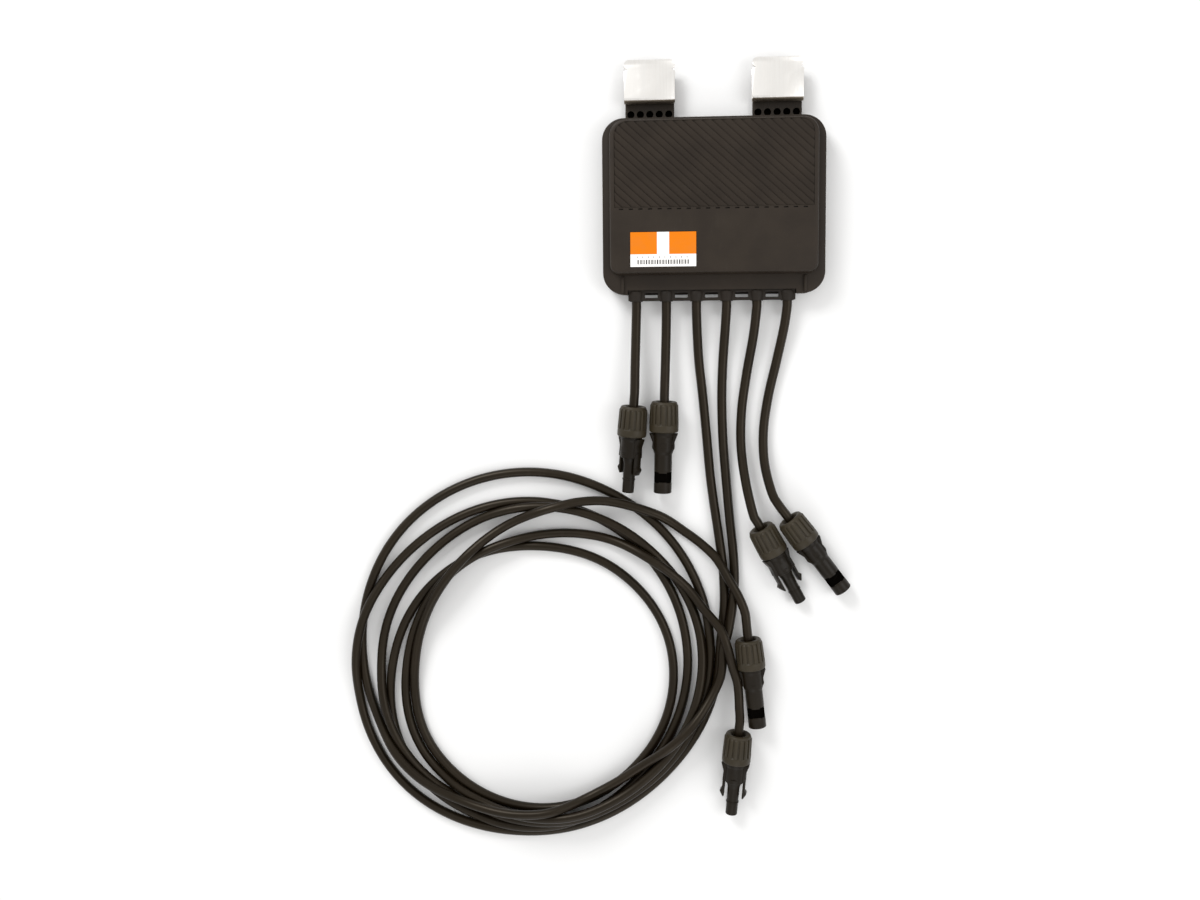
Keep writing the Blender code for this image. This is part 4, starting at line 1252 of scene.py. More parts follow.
    def cover(self, comb: "Comb") -> None:
        """Show the front shell and its louvre field.

        Args:
            comb: The cable comb, which its wall leaves room for.
        """
        skirt = Bench.bevelled(self._shell(0.0, self.seam_z, self.shoulder_z), 0.0007)
        dome = Bench.bevelled(self._dome(0.0, self.shoulder_z - MM, self.height), 0.0013, 4)
        shelf = block(self.shelf_low, self.shelf_high)
        ribs = [Bench.bevelled(rib, 0.0005) for rib in block_pair(self.shelf_rib_low, self.shelf_rib_high, 0)]
        lower = self._shell(self.wall, self.seam_z - MM, self.shoulder_z - self.cover_wall)
        upper = self._dome(self.cover_wall, self.seam_z, self.height - self.cover_wall)
        under_lid = self.height - self.cover_wall / 2
        bosses = self._rods(self.boss_radius, self.seam_z, under_lid, self.screw_spots)
        pilots = self._rods(self.pilot_radius, self.seam_z - MM, self.pilot_top, self.screw_spots)
        edge, low, size = self.label_edge, self.label_low, self.label_size
        recess = block(
            (low[0] - edge, low[1] - edge, self.height - 2 * edge),
            (low[0] + size[0] + edge, low[1] + size[1] + edge, self.height + MM),
        )
        field_cut = self._field(0.0, self.height - self.field_depth)
        body = Bench.carved(skirt, [dome])
        body = Bench.carved(body, cuts=[shelf, lower, upper])
        cuts = [*pilots, recess, field_cut, self._dashes(), comb.notch(self.comb_notch_top)]
        body = Bench.carved(body, [*bosses, *ribs], cuts)
        self.shop.show("front_shell", body, "cover_black", ENCLOSURE, Slot.COVER, ["front_cover"])
        self._louvres()

    def _dashes(self) -> bpy.types.Mesh:
        """Cutters for the row of short slots under the louvre field.

        Returns:
            One mesh with all of them.
        """
        left, bottom = self.louvre_low
        low = (left + 0.0030, bottom - 0.0014, self.height - 0.0014)
        first = block(low, (left + 0.0056, bottom - 0.0006, self.height + MM))
        step = (self.louvre_pitch, 0.0, 0.0)
        return self.shop.repeater.row(first, self.dash_count, step, self.shop.finishes["cover_black"])

    def _field(self, inset: float, low: float) -> bpy.types.Mesh:
        """A block with the louvre field's outline, 2 mm high.

        Args:
            inset: How far it lies inside the outline.
            low: The height it starts at.

        Returns:
            The mesh.
        """
        (left, bottom), (right, top) = self.louvre_low, self.louvre_high
        size = (right - left - 2 * inset, top - bottom - 2 * inset)
        centre = ((left + right) / 2, (bottom + top) / 2)
        upper, lower = self.field_corners[:2], self.field_corners[2:]
        outline = rounded_rectangle(*size, [*(radius - inset for radius in upper), *lower], centre, 10)
        return loft(outline, outline, low, low + 2 * MM)

    def _louvres(self) -> None:
        """Show the slanted louvres: each rises slowly to one side and drops sharply."""
        (left, bottom), (right, top) = self.louvre_low, self.louvre_high
        run = (top - bottom + 2 * MM) / math.tan(self.louvre_angle)
        base, low, high = (self.height - drop for drop in (self.field_depth, self.louvre_foot, self.flush))
        pitch, lap = self.louvre_pitch, self.louvre_lap
        crest = (pitch * self.louvre_crest, high)
        section = ((lap, base), (pitch - lap, base), (pitch - lap, high), crest, (lap, low))
        ends = ((left - run, top + MM), (left, bottom - MM))
        one = skinned([[(start + x, y, z) for x, z in section] for start, y in ends])
        count = math.ceil((right - left + run) / pitch) + 1
        rows = self.shop.repeater.row(one, count, (pitch, 0.0, 0.0), self.shop.finishes["cover_black"])
        rows = Bench.combined(rows, self._field(0.00012, self.height - 0.0015), "INTERSECT")
        self.shop.show("front_louvres", rows, "cover_black", ENCLOSURE, Slot.COVER, smooth_angle=12.0)

    def label(self) -> None:
        """Show the label, a film in coloured fields with a plain strip of bars."""
        (left, bottom), (width, length) = self.label_low, self.label_size
        top = self.height - self.flush / 2
        orange, white, ink = 0, 1, 2
        bar_row, mark_row, colour_row = 1, 3, 5
        band_low, band_high = (left + width * share for share in self.label_band)
        bars = self._bars()
        xs = sorted({left, left + width, band_low, band_high, *(x for bar in bars for x in bar)})
        ys = [bottom + length * share for share in self.label_rows]
        bm = bmesh.new()
        grid = [[bm.verts.new((x, y, top)) for x in xs] for y in ys]
        for row, (under, over) in enumerate(zip(grid, grid[1:])):
            for i in range(len(xs) - 1):
                face = bm.faces.new((under[i], under[i + 1], over[i + 1], over[i]))
                middle = (xs[i] + xs[i + 1]) / 2
                if row == colour_row:
                    face.material_index = white if band_low < middle < band_high else orange
                else:
                    inked = row in (bar_row, mark_row) and any(a < middle < b for a, b in bars[::row])
                    face.material_index = ink if inked else white
        skin = bmesh.ops.extrude_face_region(bm, geom=bm.faces[:])
        lowered = [v for v in skin["geom"] if isinstance(v, bmesh.types.BMVert)]
        bmesh.ops.translate(bm, vec=(0.0, 0.0, -self.label_film), verts=lowered)
        bmesh.ops.recalc_face_normals(bm, faces=bm.faces[:])
        finishes = ("label_orange", "label_white", "label_ink")
        self.shop.show("front_label", plain_mesh(bm), finishes, ENCLOSURE, Slot.LABEL, ["rating_label"])

    def _bars(self) -> list[Point2]:
        """Where the strip's bars start and end along X. Their widths only alternate and spell nothing.

        Returns:
            Pairs of places, from the left.
        """
        start, stop = (self.label_low[0] + self.label_size[0] * share for share in self.bar_span)
        bars = []
        place = start
        for index in range(self.bar_count):
            wide = (0.35 + 0.22 * ((index * 7) % 3)) * MM
            bars.append((place, place + wide))
            place += wide + (0.38 + 0.2 * ((index * 5) % 3)) * MM
        return [bar for bar in bars if bar[1] < stop]

    def screws(self, tongues: "Tongues") -> None:
        """Show every screw, sunk into the back and driven by a six-lobed socket.

        Args:
            tongues: The clips' tongues, which take a short screw each.
        """
        case_nodes = [f"case_screw_{side}_{end}" for side in ("left", "right") for end in ("upper", "lower")]
        clip_nodes = ["clip_screw_left", "clip_screw_right"]
        groups = (
            ("case_screws", self.screw_spots, 0.0028, 0.00145, 0.0165, case_nodes),
            ("clip_screws", tongues.screw_spots, 0.0025, 0.0012, 0.0047, clip_nodes),
        )
        base, top, steps = 0.0002, 0.0015, 36
        for name, spots, head, shaft, tip, nodes in groups:
            profile = [(0.0, tip), (shaft * 0.7, tip), (shaft, tip - shaft * 0.6), (shaft, top), (head, top)]
            profile += [(head, base + 0.0005), (head * 0.9, base + 0.0001), (head * 0.7, base), (0.0, base)]
            lobes = []
            for i in range(steps):
                angle = math.tau * i / steps
                reach = head * (0.42 + 0.07 * math.cos(6 * angle))
                lobes.append((reach * math.cos(angle), reach * math.sin(angle)))
            socket = loft(lobes, lobes, -MM, base + 0.0008)
            one = Bench.carved(lathe(profile, 40), cuts=[socket])
            steel = self.shop.finishes["screw_steel"]
            screws = self.shop.repeater.at(one, [(x, y, 0.0) for x, y in spots], steel)
            self.shop.show(name, screws, "screw_steel", ENCLOSURE, Slot.SCREW, nodes)


# Tongues and clips.


@dataclass
class Tongues:
    """The two tongues of the back shell and the spring clips on them."""

    shop: Shop
    x: float = 0.0400
    width: float = 0.0308
    thickness: float = 0.0035
    end_y: float = 0.0660
    root_y: float = 0.0380
    hole_count: int = 5
    hole_radius: float = 0.0023
    hole_pitch: float = 0.0060
    hole_y: float = 0.0428
    hole_floor: float = 0.0005
    screw_y: float = 0.0590
    screw_bore: float = 0.0015
    sink_radius: float = 0.0028
    sink_depth: float = 0.0018
    drill_top: float = 0.0060
    clip_width: float = 0.0318
    seat_gap: float = 0.0003
    sheet: float = 0.0009
    mouth: float = 0.0050
    back_end_y: float = 0.0690
    tip_y: float = 0.0750
    tip_corner: float = 0.0030
    lip_length: float = 0.0028
    lip_rise: float = 0.0009
    bend_y: float = 0.0487
    bend_shade_depth: float = 0.0019
    barb_y: float = 0.0690
    leaf_cut: Point2 = (0.0080, 0.0140)

    @property
    def screw_spots(self) -> list[Point2]:
        """Where the clip screws stand."""
        return [(side * self.x, self.screw_y) for side in (-1, 1)]

    @property
    def hole_spots(self) -> list[Point3]:
        """Where the round holes are."""
        places = [(index - (self.hole_count - 1) / 2) * self.hole_pitch for index in range(self.hole_count)]
        return [(side * self.x + place, self.hole_y, 0.0) for side in (-1, 1) for place in places]

    def plates(self) -> list[bpy.types.Mesh]:
        """The tongues' own blocks.

        Returns:
            One block for each.
        """
        half = self.width / 2
        made = []
        for side in (-1, 1):
            corner_low = (side * self.x - half, self.root_y, 0.0)
            corner_high = (side * self.x + half, self.end_y, self.thickness)
            made.append(Bench.bevelled(block(corner_low, corner_high), 0.0004, 2))
        return made

    def holes(self) -> list[bpy.types.Mesh]:
        """What is cut out of the tongues: a row of round holes and a stepped screw hole each.

        Returns:
            The cutters.
        """
        made = []
        for spot in self.hole_spots:
            blind = self._rod(self.hole_radius, self.hole_floor, self.drill_top)
            made.append(placed(blind, Matrix.Translation(spot)))
        for spot in self.screw_spots:
            for radius, high in ((self.screw_bore, self.drill_top), (self.sink_radius, self.sink_depth)):
                made.append(placed(self._rod(radius, -MM, high), Matrix.Translation((*spot, 0.0))))
        return made

    @staticmethod
    def _rod(radius: float, low: float, high: float) -> bpy.types.Mesh:
        """An upright rod on the Z axis between two heights."""
        return lathe([(0.0, high), (radius, high), (radius, low), (0.0, low)], 32)

    def pits(self) -> None:
        """Show near-black discs at the bottoms of the round holes: painted shade inside the holes."""
        disc = self._rod(self.hole_radius - 0.00005, 0.0006, 0.0012)
        bottoms = self.shop.repeater.at(disc, self.hole_spots, self.shop.finishes["hole_black"])
        self.shop.show("tongue_hole_bottoms", bottoms, "hole_black", ENCLOSURE, Slot.CASE)

    def _profile(self) -> list[Point2]:
        """The bent strip's outline as (y, z), round the bend and back.

        Returns:
            The closed outline.
        """
        low = self.thickness + self.seat_gap
        inner, outer = self.mouth / 2, self.mouth / 2 + self.sheet
        centre_y, centre_z, high = self.bend_y + outer, low + outer, low + 2 * outer
        outside, inside = [(self.back_end_y, low)], [(self.back_end_y, low + self.sheet)]
        steps = 20
        for step in range(steps + 1):
            angle = -math.pi / 2 - math.pi * step / steps
            outside.append((centre_y + outer * math.cos(angle), centre_z + outer * math.sin(angle)))
            inside.append((centre_y + inner * math.cos(angle), centre_z + inner * math.sin(angle)))
        for share in (0.0, 0.33, 0.66, 1.0):
            y = self.tip_y - self.lip_length * (1 - share)
            rise = self.lip_rise * share**1.6
            outside.append((y, high + rise))
            inside.append((y, high - self.sheet + rise))
        return outside + inside[::-1]

    def clips(self) -> None:
        """Show both clips."""
        half = self.clip_width / 2
        for side, word in ((-1, "left"), (1, "right")):
            outline = self._profile()
            strip = loft(outline, outline, -half, half)
            turn = Matrix(((0, 0, 1, 0), (1, 0, 0, 0), (0, 1, 0, 0), (0, 0, 0, 1)))
            strip = placed(strip, Matrix.Translation((side * self.x, 0.0, 0.0)) @ turn)
            cuts = [self._corner(side * self.x, edge) for edge in (-1, 1)]
            cuts += [self._barb_notch(side * self.x, edge) for edge in (-1, 1)]
            spot = Matrix.Translation((side * self.x, self.screw_y, 0.0))
            hole = placed(self._rod(self.screw_bore, -MM, self.drill_top), spot)
            strip = Bench.carved(strip, cuts=[*cuts, hole])
            strip = Bench.bevelled(strip, 0.00012, 2, 50.0)
            barbs = [self._barb(side * self.x, edge) for edge in (-1, 1)]
            clip = merged(strip, *barbs)
            plain = len(strip.polygons)
            # Faces near the bend, faces turned sideways and the barbs take a darker tan steel: painted shade
            # and painted reflection of a dim surround, not a real tint of the steel
            for face in clip.polygons:
                bent = face.center.y < self.bend_y + self.bend_shade_depth
                face.material_index = int(bent or abs(face.normal.z) < 0.5 or face.index >= plain)
            finishes = ("clip_steel", "clip_bend_painted_shade")
            node = f"frame_clip_{word}"
            self.shop.show(f"spring_clip_{word}", clip, finishes, ENCLOSURE, Slot.SPRING, [node])

    def _corner(self, x: float, edge: int) -> bpy.types.Mesh:
        """What is cut off one corner of a clip's tip.

        Args:
            x: The clip's middle.
            edge: -1 for its left edge, 1 for its right.

        Returns:
            The cutter.
        """
        half, radius, steps = self.clip_width / 2, self.tip_corner, 6
        rim = x + edge * (half + MM)
        outline = [(rim, self.tip_y + MM), (rim, self.tip_y - radius)]
        for step in range(steps + 1):
            angle = math.pi / 2 * step / steps
            across = half - radius + radius * math.cos(angle)
            outline.append((x + edge * across, self.tip_y - radius + radius * math.sin(angle)))
        outline.append((x + edge * (half - radius), self.tip_y + MM))
        return loft(outline, outline, *self.leaf_cut)

    def _barb_notch(self, x: float, edge: int) -> bpy.types.Mesh:
        """What is cut out beside a barb.

        Args:
            x: The clip's middle.
            edge: -1 for its left edge, 1 for its right.

        Returns:
            The cutter.
        """
        rim = x + edge * (self.clip_width / 2 + MM)
        inner = x + edge * (self.clip_width / 2 - 0.0019)
        outline = [(inner, self.barb_y + 0.0002), (rim, self.barb_y - 0.0016), (rim, self.barb_y + 0.0020)]
        return loft(outline, outline, *self.leaf_cut)

    def _barb(self, x: float, edge: int) -> bpy.types.Mesh:
        """A small tooth bent down at the side of a clip.

        Args:
            x: The clip's middle.
            edge: -1 for its left edge, 1 for its right.

        Returns:
            The tooth.
        """
        half = self.clip_width / 2
        high = self.thickness + self.seat_gap + 2 * (self.mouth / 2 + self.sheet)
        inner, outer = sorted((x + edge * (half - 0.0012), x + edge * (half - 0.0001)))
        y = self.barb_y - 0.0008
        tooth = block((inner, y - 0.0018, high - 0.0021), (outer, y, high - 0.0003))
        return Bench.bevelled(tooth, 0.0002, 2)


# Cable comb.


@dataclass
class Comb:
    """The rubber comb that the leads leave through."""

    shop: Shop
    offset_x: float = -0.0012
    width: float = 0.1056
    outer_y: float = -0.0750
    rail_ys: Point2 = (-0.0746, -0.0685)
    rail_zs: Point2 = (0.0050, 0.0103)
    root_ys: Point2 = (-0.0690, -0.0625)
    root_zs: Point2 = (0.0029, 0.0107)
    notch_ys: Point2 = (-0.0716, -0.0678)
    notch_low: float = 0.0026
    pitch: float = 0.0191
    count: int = 6
    axis_z: float = 0.00765
    bore: float = 0.0033
    window_size: Point2 = (0.0082, 0.0033)
    window_y: float = -0.0710
    pad_half: float = 0.0046
    pad_ys: Point2 = (-0.0695, -0.0684)
    pad_zs: Point2 = (0.0095, 0.0112)

    def lead_x(self, number: int) -> float:
        """The place across the box of a lead, numbered from the left.

        Args:
            number: 1 to 6.

        Returns:
            Its X.
        """
        return self.offset_x + (number - 1 - (self.count - 1) / 2) * self.pitch

    def notch(self, high: float) -> bpy.types.Mesh:
        """The room that a shell's wall leaves for the comb.

        Args:
            high: How high the cut goes.

        Returns:
            The cutter.
        """
        return self._bar(self.offset_x, self.width / 2 + 0.0003, self.notch_ys, (self.notch_low, high))

    @staticmethod
    def _bar(middle: float, half: float, ys: Point2, zs: Point2) -> bpy.types.Mesh:
        """A block across the box.

        Args:
            middle: Its middle along X.
            half: Half its width.
            ys: Where it starts and ends along Y.
            zs: Where it starts and ends along Z.

        Returns:
            The block.
        """
        return block((middle - half, ys[0], zs[0]), (middle + half, ys[1], zs[1]))

    def build(self) -> None:
        """Show the comb with its boots."""
        half, through = self.width / 2, 0.02
        rail = Bench.bevelled(self._bar(self.offset_x, half, self.rail_ys, self.rail_zs), 0.0005)
        body = Bench.carved(rail, [self._bar(self.offset_x, half, self.root_ys, self.root_zs)])
        windows, pads = [], []
        for number in range(1, self.count):
            middle = self.lead_x(number) + self.pitch / 2
            outline = rounded_rectangle(*self.window_size, [0.0005] * 4, (middle, self.window_y), 3)
            windows.append(loft(outline, outline, 0.0, through))
            pads.append(self._bar(middle, self.pad_half, self.pad_ys, self.pad_zs))
        rod = [(0.0, through), (self.bore, through), (self.bore, -2 * MM), (0.0, -2 * MM)]
        bores = [self._along_y(rod, self.lead_x(number)) for number in range(1, self.count + 1)]
        body = Bench.carved(body, pads, [*windows, *bores])
        sleeve = [(self.bore, 0.0066), (0.0046, 0.0066), (0.0048, 0.0046), (0.0043, 0.0016), (0.0041, 0.0)]
        profile = rounded_profile([*sleeve, (self.bore, 0.0)], 0.0006)
        boot = self._along_y(profile, self.lead_x(1), 48)
        rubber = self.shop.finishes["comb_black"]
        boots = self.shop.repeater.row(boot, self.count, (self.pitch, 0.0, 0.0), rubber)
        self.shop.show("lead_comb", body, "comb_black", ENCLOSURE, Slot.COMB, ["cable_comb"])
        self.shop.show("lead_boots", boots, "comb_black", ENCLOSURE, Slot.COMB)

    def _along_y(self, profile: Sequence[Point2], x: float, segments: int = 40) -> bpy.types.Mesh:
        """Turn a profile about a lead's line, its height 0 at the comb's outer face.

        Args:
            profile: Points as (radius, distance from the outer face inwards).
            x: The lead's place.
            segments: Steps round the line.

        Returns:
            The mesh.
        """
        turn = Matrix.Rotation(-math.pi / 2, 4, "X")
        return placed(lathe(profile, segments), Matrix.Translation((x, self.outer_y, self.axis_z)) @ turn)


# Couplers.


@dataclass
class Coupler:
    """One plug coupler on a lead's end."""

    shop: Shop
    number: int
    kind: CouplerKind
    rear: Point2
    heading: Point2
    dip: float
    roll: float
    nut_length: float = 0.0196
    nut_front: float = 0.0095
    nut_rear: float = 0.0089
    flutes: int = 16
    spigot: float = 0.0062
    spigot_start: float = 0.0080
    collar: float = 0.0070
    ear_reach: float = 0.0093
    probe_end: float = 0.0565
    barrel_end: float = 0.0593
    pieces: list[bpy.types.Object] = field(default_factory=list)

    @property
    def place(self) -> Matrix:
        """The coupler's matrix: +Z from the nut's rear face to the nose."""
        dip = math.radians(self.dip)
        flat = Vector((*self.heading, 0.0)).normalized()
        nose = flat * math.cos(dip) - Vector((0, 0, 1)) * math.sin(dip)
        side = Vector((0, 0, 1)).cross(flat).normalized()
        over = nose.cross(side)
        height = self.nut_front * math.cos(dip) + self.nut_length * math.sin(dip) + 0.0001
        turn = Matrix((side, over, nose)).transposed().to_4x4()
        roll = Matrix.Rotation(math.radians(self.roll), 4, "Z")
        return Matrix.Translation((*self.rear, height)) @ turn @ roll

    def on_axis(self, along: float) -> Point3:
        """A point on the coupler's axis.

        Args:
            along: Distance from the nut's rear face towards the nose.

        Returns:
            The point.
        """
        return tuple(self.place @ Vector((0.0, 0.0, along)))

    def _show(
        self, name: str, mesh: bpy.types.Mesh, finish: str | Sequence[str], body: str, slot: Slot, node: str
    ) -> None:
        """Show one of the coupler's pieces.

        Args:
            name: The piece's name.
            mesh: Its mesh, about the coupler's own axis.
            finish: Its finish, or one for each material index.
            body: The body it moves with.
            slot: The record's slot.
            node: The CAD node it stands for.
        """
        self.pieces.append(self.shop.show(name, placed(mesh, self.place), finish, body, slot, [node]))

    def build(self) -> None:
        """Show the nut, the body, the contact and any latch arms."""
        n = self.number
        self._show(f"nut_{n}", self._nut(), "nut_olive_black", f"gland_nut_{n}", Slot.NUT, f"gland_nut_{n}")
        if self.kind is CouplerKind.PROBE:
            body, contact, node = self._probe_body(), self._socket(), f"contact_socket_{n}"
            finishes = "coupler_black"
            for word, edge in (("a", 1), ("b", -1)):
                arm = f"latch_arm_{n}{word}"
                self._show(f"arm_{n}{word}", self._arm(edge), "coupler_black", arm, Slot.COUPLER, arm)
        else:
            body, contact, node = self._barrel_body(), self._pin(), f"contact_pin_{n}"
            finishes = ("coupler_black", "hole_black")
        self._show(f"plug_body_{n}", body, finishes, ENCLOSURE, Slot.COUPLER, f"coupler_body_{n}")
        self._show(f"plug_contact_{n}", contact, "contact_tin", ENCLOSURE, Slot.CONTACT, node)

    def _nut(self) -> bpy.types.Mesh:
        """The gland nut: a turned core with a ring of grip ribs.

        Returns:
            The mesh.
        """
        end = self.nut_length
        inner = self.spigot + 0.0004
        outside = [
            (inner, end),
            (self.nut_front - 0.0001, end),
            (self.nut_front - 0.0001, end - 0.0048),
            (self.nut_front - 0.0009, end - 0.0056),
            (self.nut_rear - 0.0008, 0.0022),
            (self.nut_rear - 0.0004, 0.0016),
            (self.nut_rear - 0.0010, 0.0),
            (0.0052, 0.0),
            (0.0036, 0.0045),
            (0.0036, 0.0060),
            (inner, 0.0060),
            (inner, end),
        ]
        core = lathe(rounded_profile(outside, 0.0014, 4)[:-1], 96)
        rib = self._rib(0.0012, end - 0.0050)
        ribs = self.shop.repeater.ring(rib, self.flutes, self.shop.finishes["nut_olive_black"])
        return merged(core, ribs)

    def _rib(self, low: float, high: float) -> bpy.types.Mesh:
        """One grip rib of the nut, which follows its taper.

        Args:
            low: Where it starts along the axis.
            high: Where it ends.

        Returns:
            The rib, on the +X side.
        """
        half = math.pi * self.nut_rear / self.flutes * 0.66
        rings = []
        for z, share, narrow in ((low, 0.0, 0.8), (low + 0.0012, 0.1, 1.0), (high, 1.0, 1.04)):
            crown = self.nut_rear + (self.nut_front - 0.0001 - self.nut_rear) * share
            crown -= 0.0008 if z == low else 0.0
            width, foot = half * narrow, crown - 0.0014
            ring = ((foot, -width), (crown - 0.0002, -width), (crown, -width * 0.55))
            ring += ((crown, width * 0.55), (crown - 0.0002, width), (foot, width))
            rings.append([(x, y, z) for x, y in ring])
        return Bench.bevelled(skinned(rings), 0.00016, 2, 25.0)

    def _root(self) -> list[Point2]:
        """The end of every body's profile, from the collar down to the cable."""
        seat, start = self.nut_length + 0.0003, self.spigot_start
        return [(self.collar, seat), (self.spigot, seat), (self.spigot, start), (0.0, start)]

    def _ears(self, outline: list[Point2], half_thickness: float) -> bpy.types.Mesh:
        """Wings on both sides of a body.

        Args:
            outline: Half their outline as (side, along).
            half_thickness: Half their thickness.

        Returns:
            The wings in one plate.
        """
        both = outline + [(-x, z) for x, z in reversed(outline)]
        plate = loft(both, both, -half_thickness, half_thickness)
        return Bench.bevelled(placed(plate, UPRIGHT), 0.0006, 3, 20.0)

    def _probe_body(self) -> bpy.types.Mesh:
        """The body with the narrow probe and pockets for the latch arms.

        Returns:
            The mesh.
        """
        end, bottom, shoulder = self.probe_end, self.probe_end - 0.0165, 0.0334
        bore, probe, body = 0.0026, 0.00385, 0.0066
        profile = [
            (0.0, bottom),
            (bore, bottom),
            (bore, end),
            (probe, end),
            (probe, end - 0.0090),
            (probe + 0.0001, shoulder + 0.0040),
            (0.0047, shoulder + 0.0012),
            (0.0050, shoulder),
            (body, shoulder),
            (body, self.nut_length + 0.0030),
            (self.collar, self.nut_length + 0.0020),
        ]
        turned = lathe(rounded_profile(profile, 0.0008, 4) + self._root(), 64)
        ears = self._ears([(self.ear_reach, 0.0204), (0.0074, 0.0262), (0.0077, shoulder - 0.0003)], 0.0032)
        pockets = block_pair((0.0055, -0.0028, 0.0297), (0.0110, 0.0028, shoulder + MM), 0)
        slots = block_pair((-0.0030, 0.0061, 0.0262), (0.0030, 0.0080, 0.0305), 1)
        ring = lathe([(0.0042, 0.0480), (0.0042, 0.0472), (0.0030, 0.0472), (0.0030, 0.0480)], 64)
        return Bench.carved(turned, [ears, ring], [*pockets, *slots])

    def _barrel_body(self) -> bpy.types.Mesh:
        """The body with the open barrel, windowed for the mating arms.

        Returns:
            The mesh.
        """
        end, bottom = self.barrel_end, self.barrel_end - 0.0235
        bore, barrel, rim = 0.0043, 0.0056, 0.00575
        window_floor, window_low, window_high, margin = 0.0047, 0.0460, 0.0520, 0.0002
        profile = [
            (0.0, bottom),
            (bore, bottom),
            (bore, end - 0.0006),
            (bore + 0.0004, end),
            (rim, end),
            (rim, 0.0530),
            (barrel, 0.0526),
            (barrel, 0.0452),
            (barrel + 0.0001, 0.0448),
            (barrel + 0.0001, 0.0340),
            (0.0064, 0.0322),
            (0.0066, self.nut_length + 0.0030),
            (self.collar, self.nut_length + 0.0020),
        ]
        turned = lathe(rounded_profile(profile, 0.0007, 4) + self._root(), 64)
        wing = [(self.ear_reach, 0.0204), (0.0071, 0.0262), (0.0073, 0.0300), (0.0054, 0.0332)]
        windows = block_pair((-0.0050, window_floor, window_low), (0.0050, 0.0080, window_high), 1)
        slots = block_pair((-0.0026, 0.0062, 0.0262), (0.0026, 0.0080, 0.0300), 1)
        body = Bench.carved(turned, [self._ears(wing, 0.0022)], [*windows, *slots])
        # Faces inside the window recesses take the near-black finish: painted shade in the recesses
        for face in body.polygons:
            spot = face.center
            level = window_low - margin < spot.z < window_high + margin
            inside = abs(spot.y) < window_floor + 0.00015 and math.hypot(spot.x, spot.y) > bore
            face.material_index = int(level and inside)
        return body

    def _socket(self) -> bpy.types.Mesh:
        """The split socket in the probe.

        Returns:
            The mesh.
        """
        low, high, outer, inner = 0.0403, 0.0555, 0.0023, 0.0013
        hollow = [(0.0, low + 0.004), (inner, low + 0.004), (inner, high)]
        profile = [*hollow, (outer, high), (outer, low), (0.0, low)]
        slit = block((-0.0030, -0.0001, 0.0480), (0.0030, 0.0001, 0.0560))
        return Bench.carved(lathe(rounded_profile(profile, 0.0002, 2), 32), cuts=[slit])

    def _pin(self) -> bpy.types.Mesh:
        """The round-nosed pin in the barrel.

        Returns:
            The mesh.
        """
        low, high, radius = 0.0363, 0.0565, 0.0016
        profile = [(0.0, high), (radius, high), (radius, low), (0.0, low)]
        return lathe(rounded_profile(profile, 0.0014, 5), 32)

    def _arm(self, edge: int) -> bpy.types.Mesh:
        """A hooked latch arm.

        Args:
            edge: 1 for the arm on the body's own +X side, -1 for the other.

        Returns:
            The arm.
        """
        inner, outer, tip = 0.0059, 0.0075, 0.0445
        outline = [
            (inner, 0.0300),
            (outer, 0.0300),
            (outer, tip - 0.0058),
            (outer + 0.0013, tip - 0.0040),
            (outer + 0.0009, tip - 0.0030),
            (inner + 0.0009, tip - 0.0002),
            (inner + 0.0003, tip),
            (inner, tip - 0.0008),
        ]
        outline = [(edge * x, z) for x, z in outline]
        plate = loft(outline, outline, -0.0025, 0.0025)
        return Bench.bevelled(placed(plate, UPRIGHT), 0.0003, 2, 40.0)


# Kind, rear end in plan, heading in plan, dip and roll in degrees, numbered from the left
COUPLER_LAYS = (
    (CouplerKind.PROBE, (-0.0510, -0.1415), (-0.0043, -0.0563), 4.0, 42.0),
    (CouplerKind.BARREL, (-0.0313, -0.1386), (-0.0015, -0.0596), 3.0, 0.0),
    (CouplerKind.BARREL, (0.0224, -0.2934), (0.0067, -0.0614), 2.0, 0.0),
    (CouplerKind.PROBE, (0.0164, -0.3562), (-0.0045, -0.0549), 5.0, 8.0),
    (CouplerKind.PROBE, (0.0300, -0.2199), (0.0235, -0.0438), 7.5, -20.0),
    (CouplerKind.BARREL, (0.0483, -0.2142), (0.0340, -0.0453), 5.0, 0.0),
)


# Leads.


CABLE_RADIUS = 0.0030
COIL_CENTRE = Vector((-0.1157, -0.3046))

SHORT_ROUTES: dict[int, tuple[Point3, ...]] = {
    1: ((-0.0494, -0.0960, 0.0083), (-0.0500, -0.1180, 0.0102)),
    2: ((-0.0301, -0.0960, 0.0081), (-0.0307, -0.1180, 0.0098)),
    5: (
        (0.0255, -0.0970, 0.0058),
        (0.0214, -0.1210, 0.0034),
        (0.0182, -0.1450, 0.0032),
        (0.0178, -0.1680, 0.0052),
        (0.0205, -0.1900, 0.0104),
    ),
    6: (
        (0.0448, -0.0920, 0.0060),
        (0.0402, -0.1140, 0.0036),
        (0.0352, -0.1360, 0.0032),
        (0.0322, -0.1580, 0.0036),
        (0.0328, -0.1790, 0.0066),
        (0.0375, -0.1980, 0.0104),
    ),
}


@dataclass(frozen=True)
class CoiledRoute:
    """The lay of a long lead: out to the coil, round it, and away to its coupler.

    The coil is given as (degrees clockwise from +X, radius in mm) about the coil's centre, and the
    order of crossings as (degrees, rank): where two strands cross, the higher rank lies on top.
    """

    feed: tuple[Point3, ...]
    entry: tuple[Point3, ...]
    turns: tuple[Point2, ...]
    tail: tuple[Point3, ...]
    ranks: tuple[Point2, ...]
    feed_rank: float
    tail_rank: float


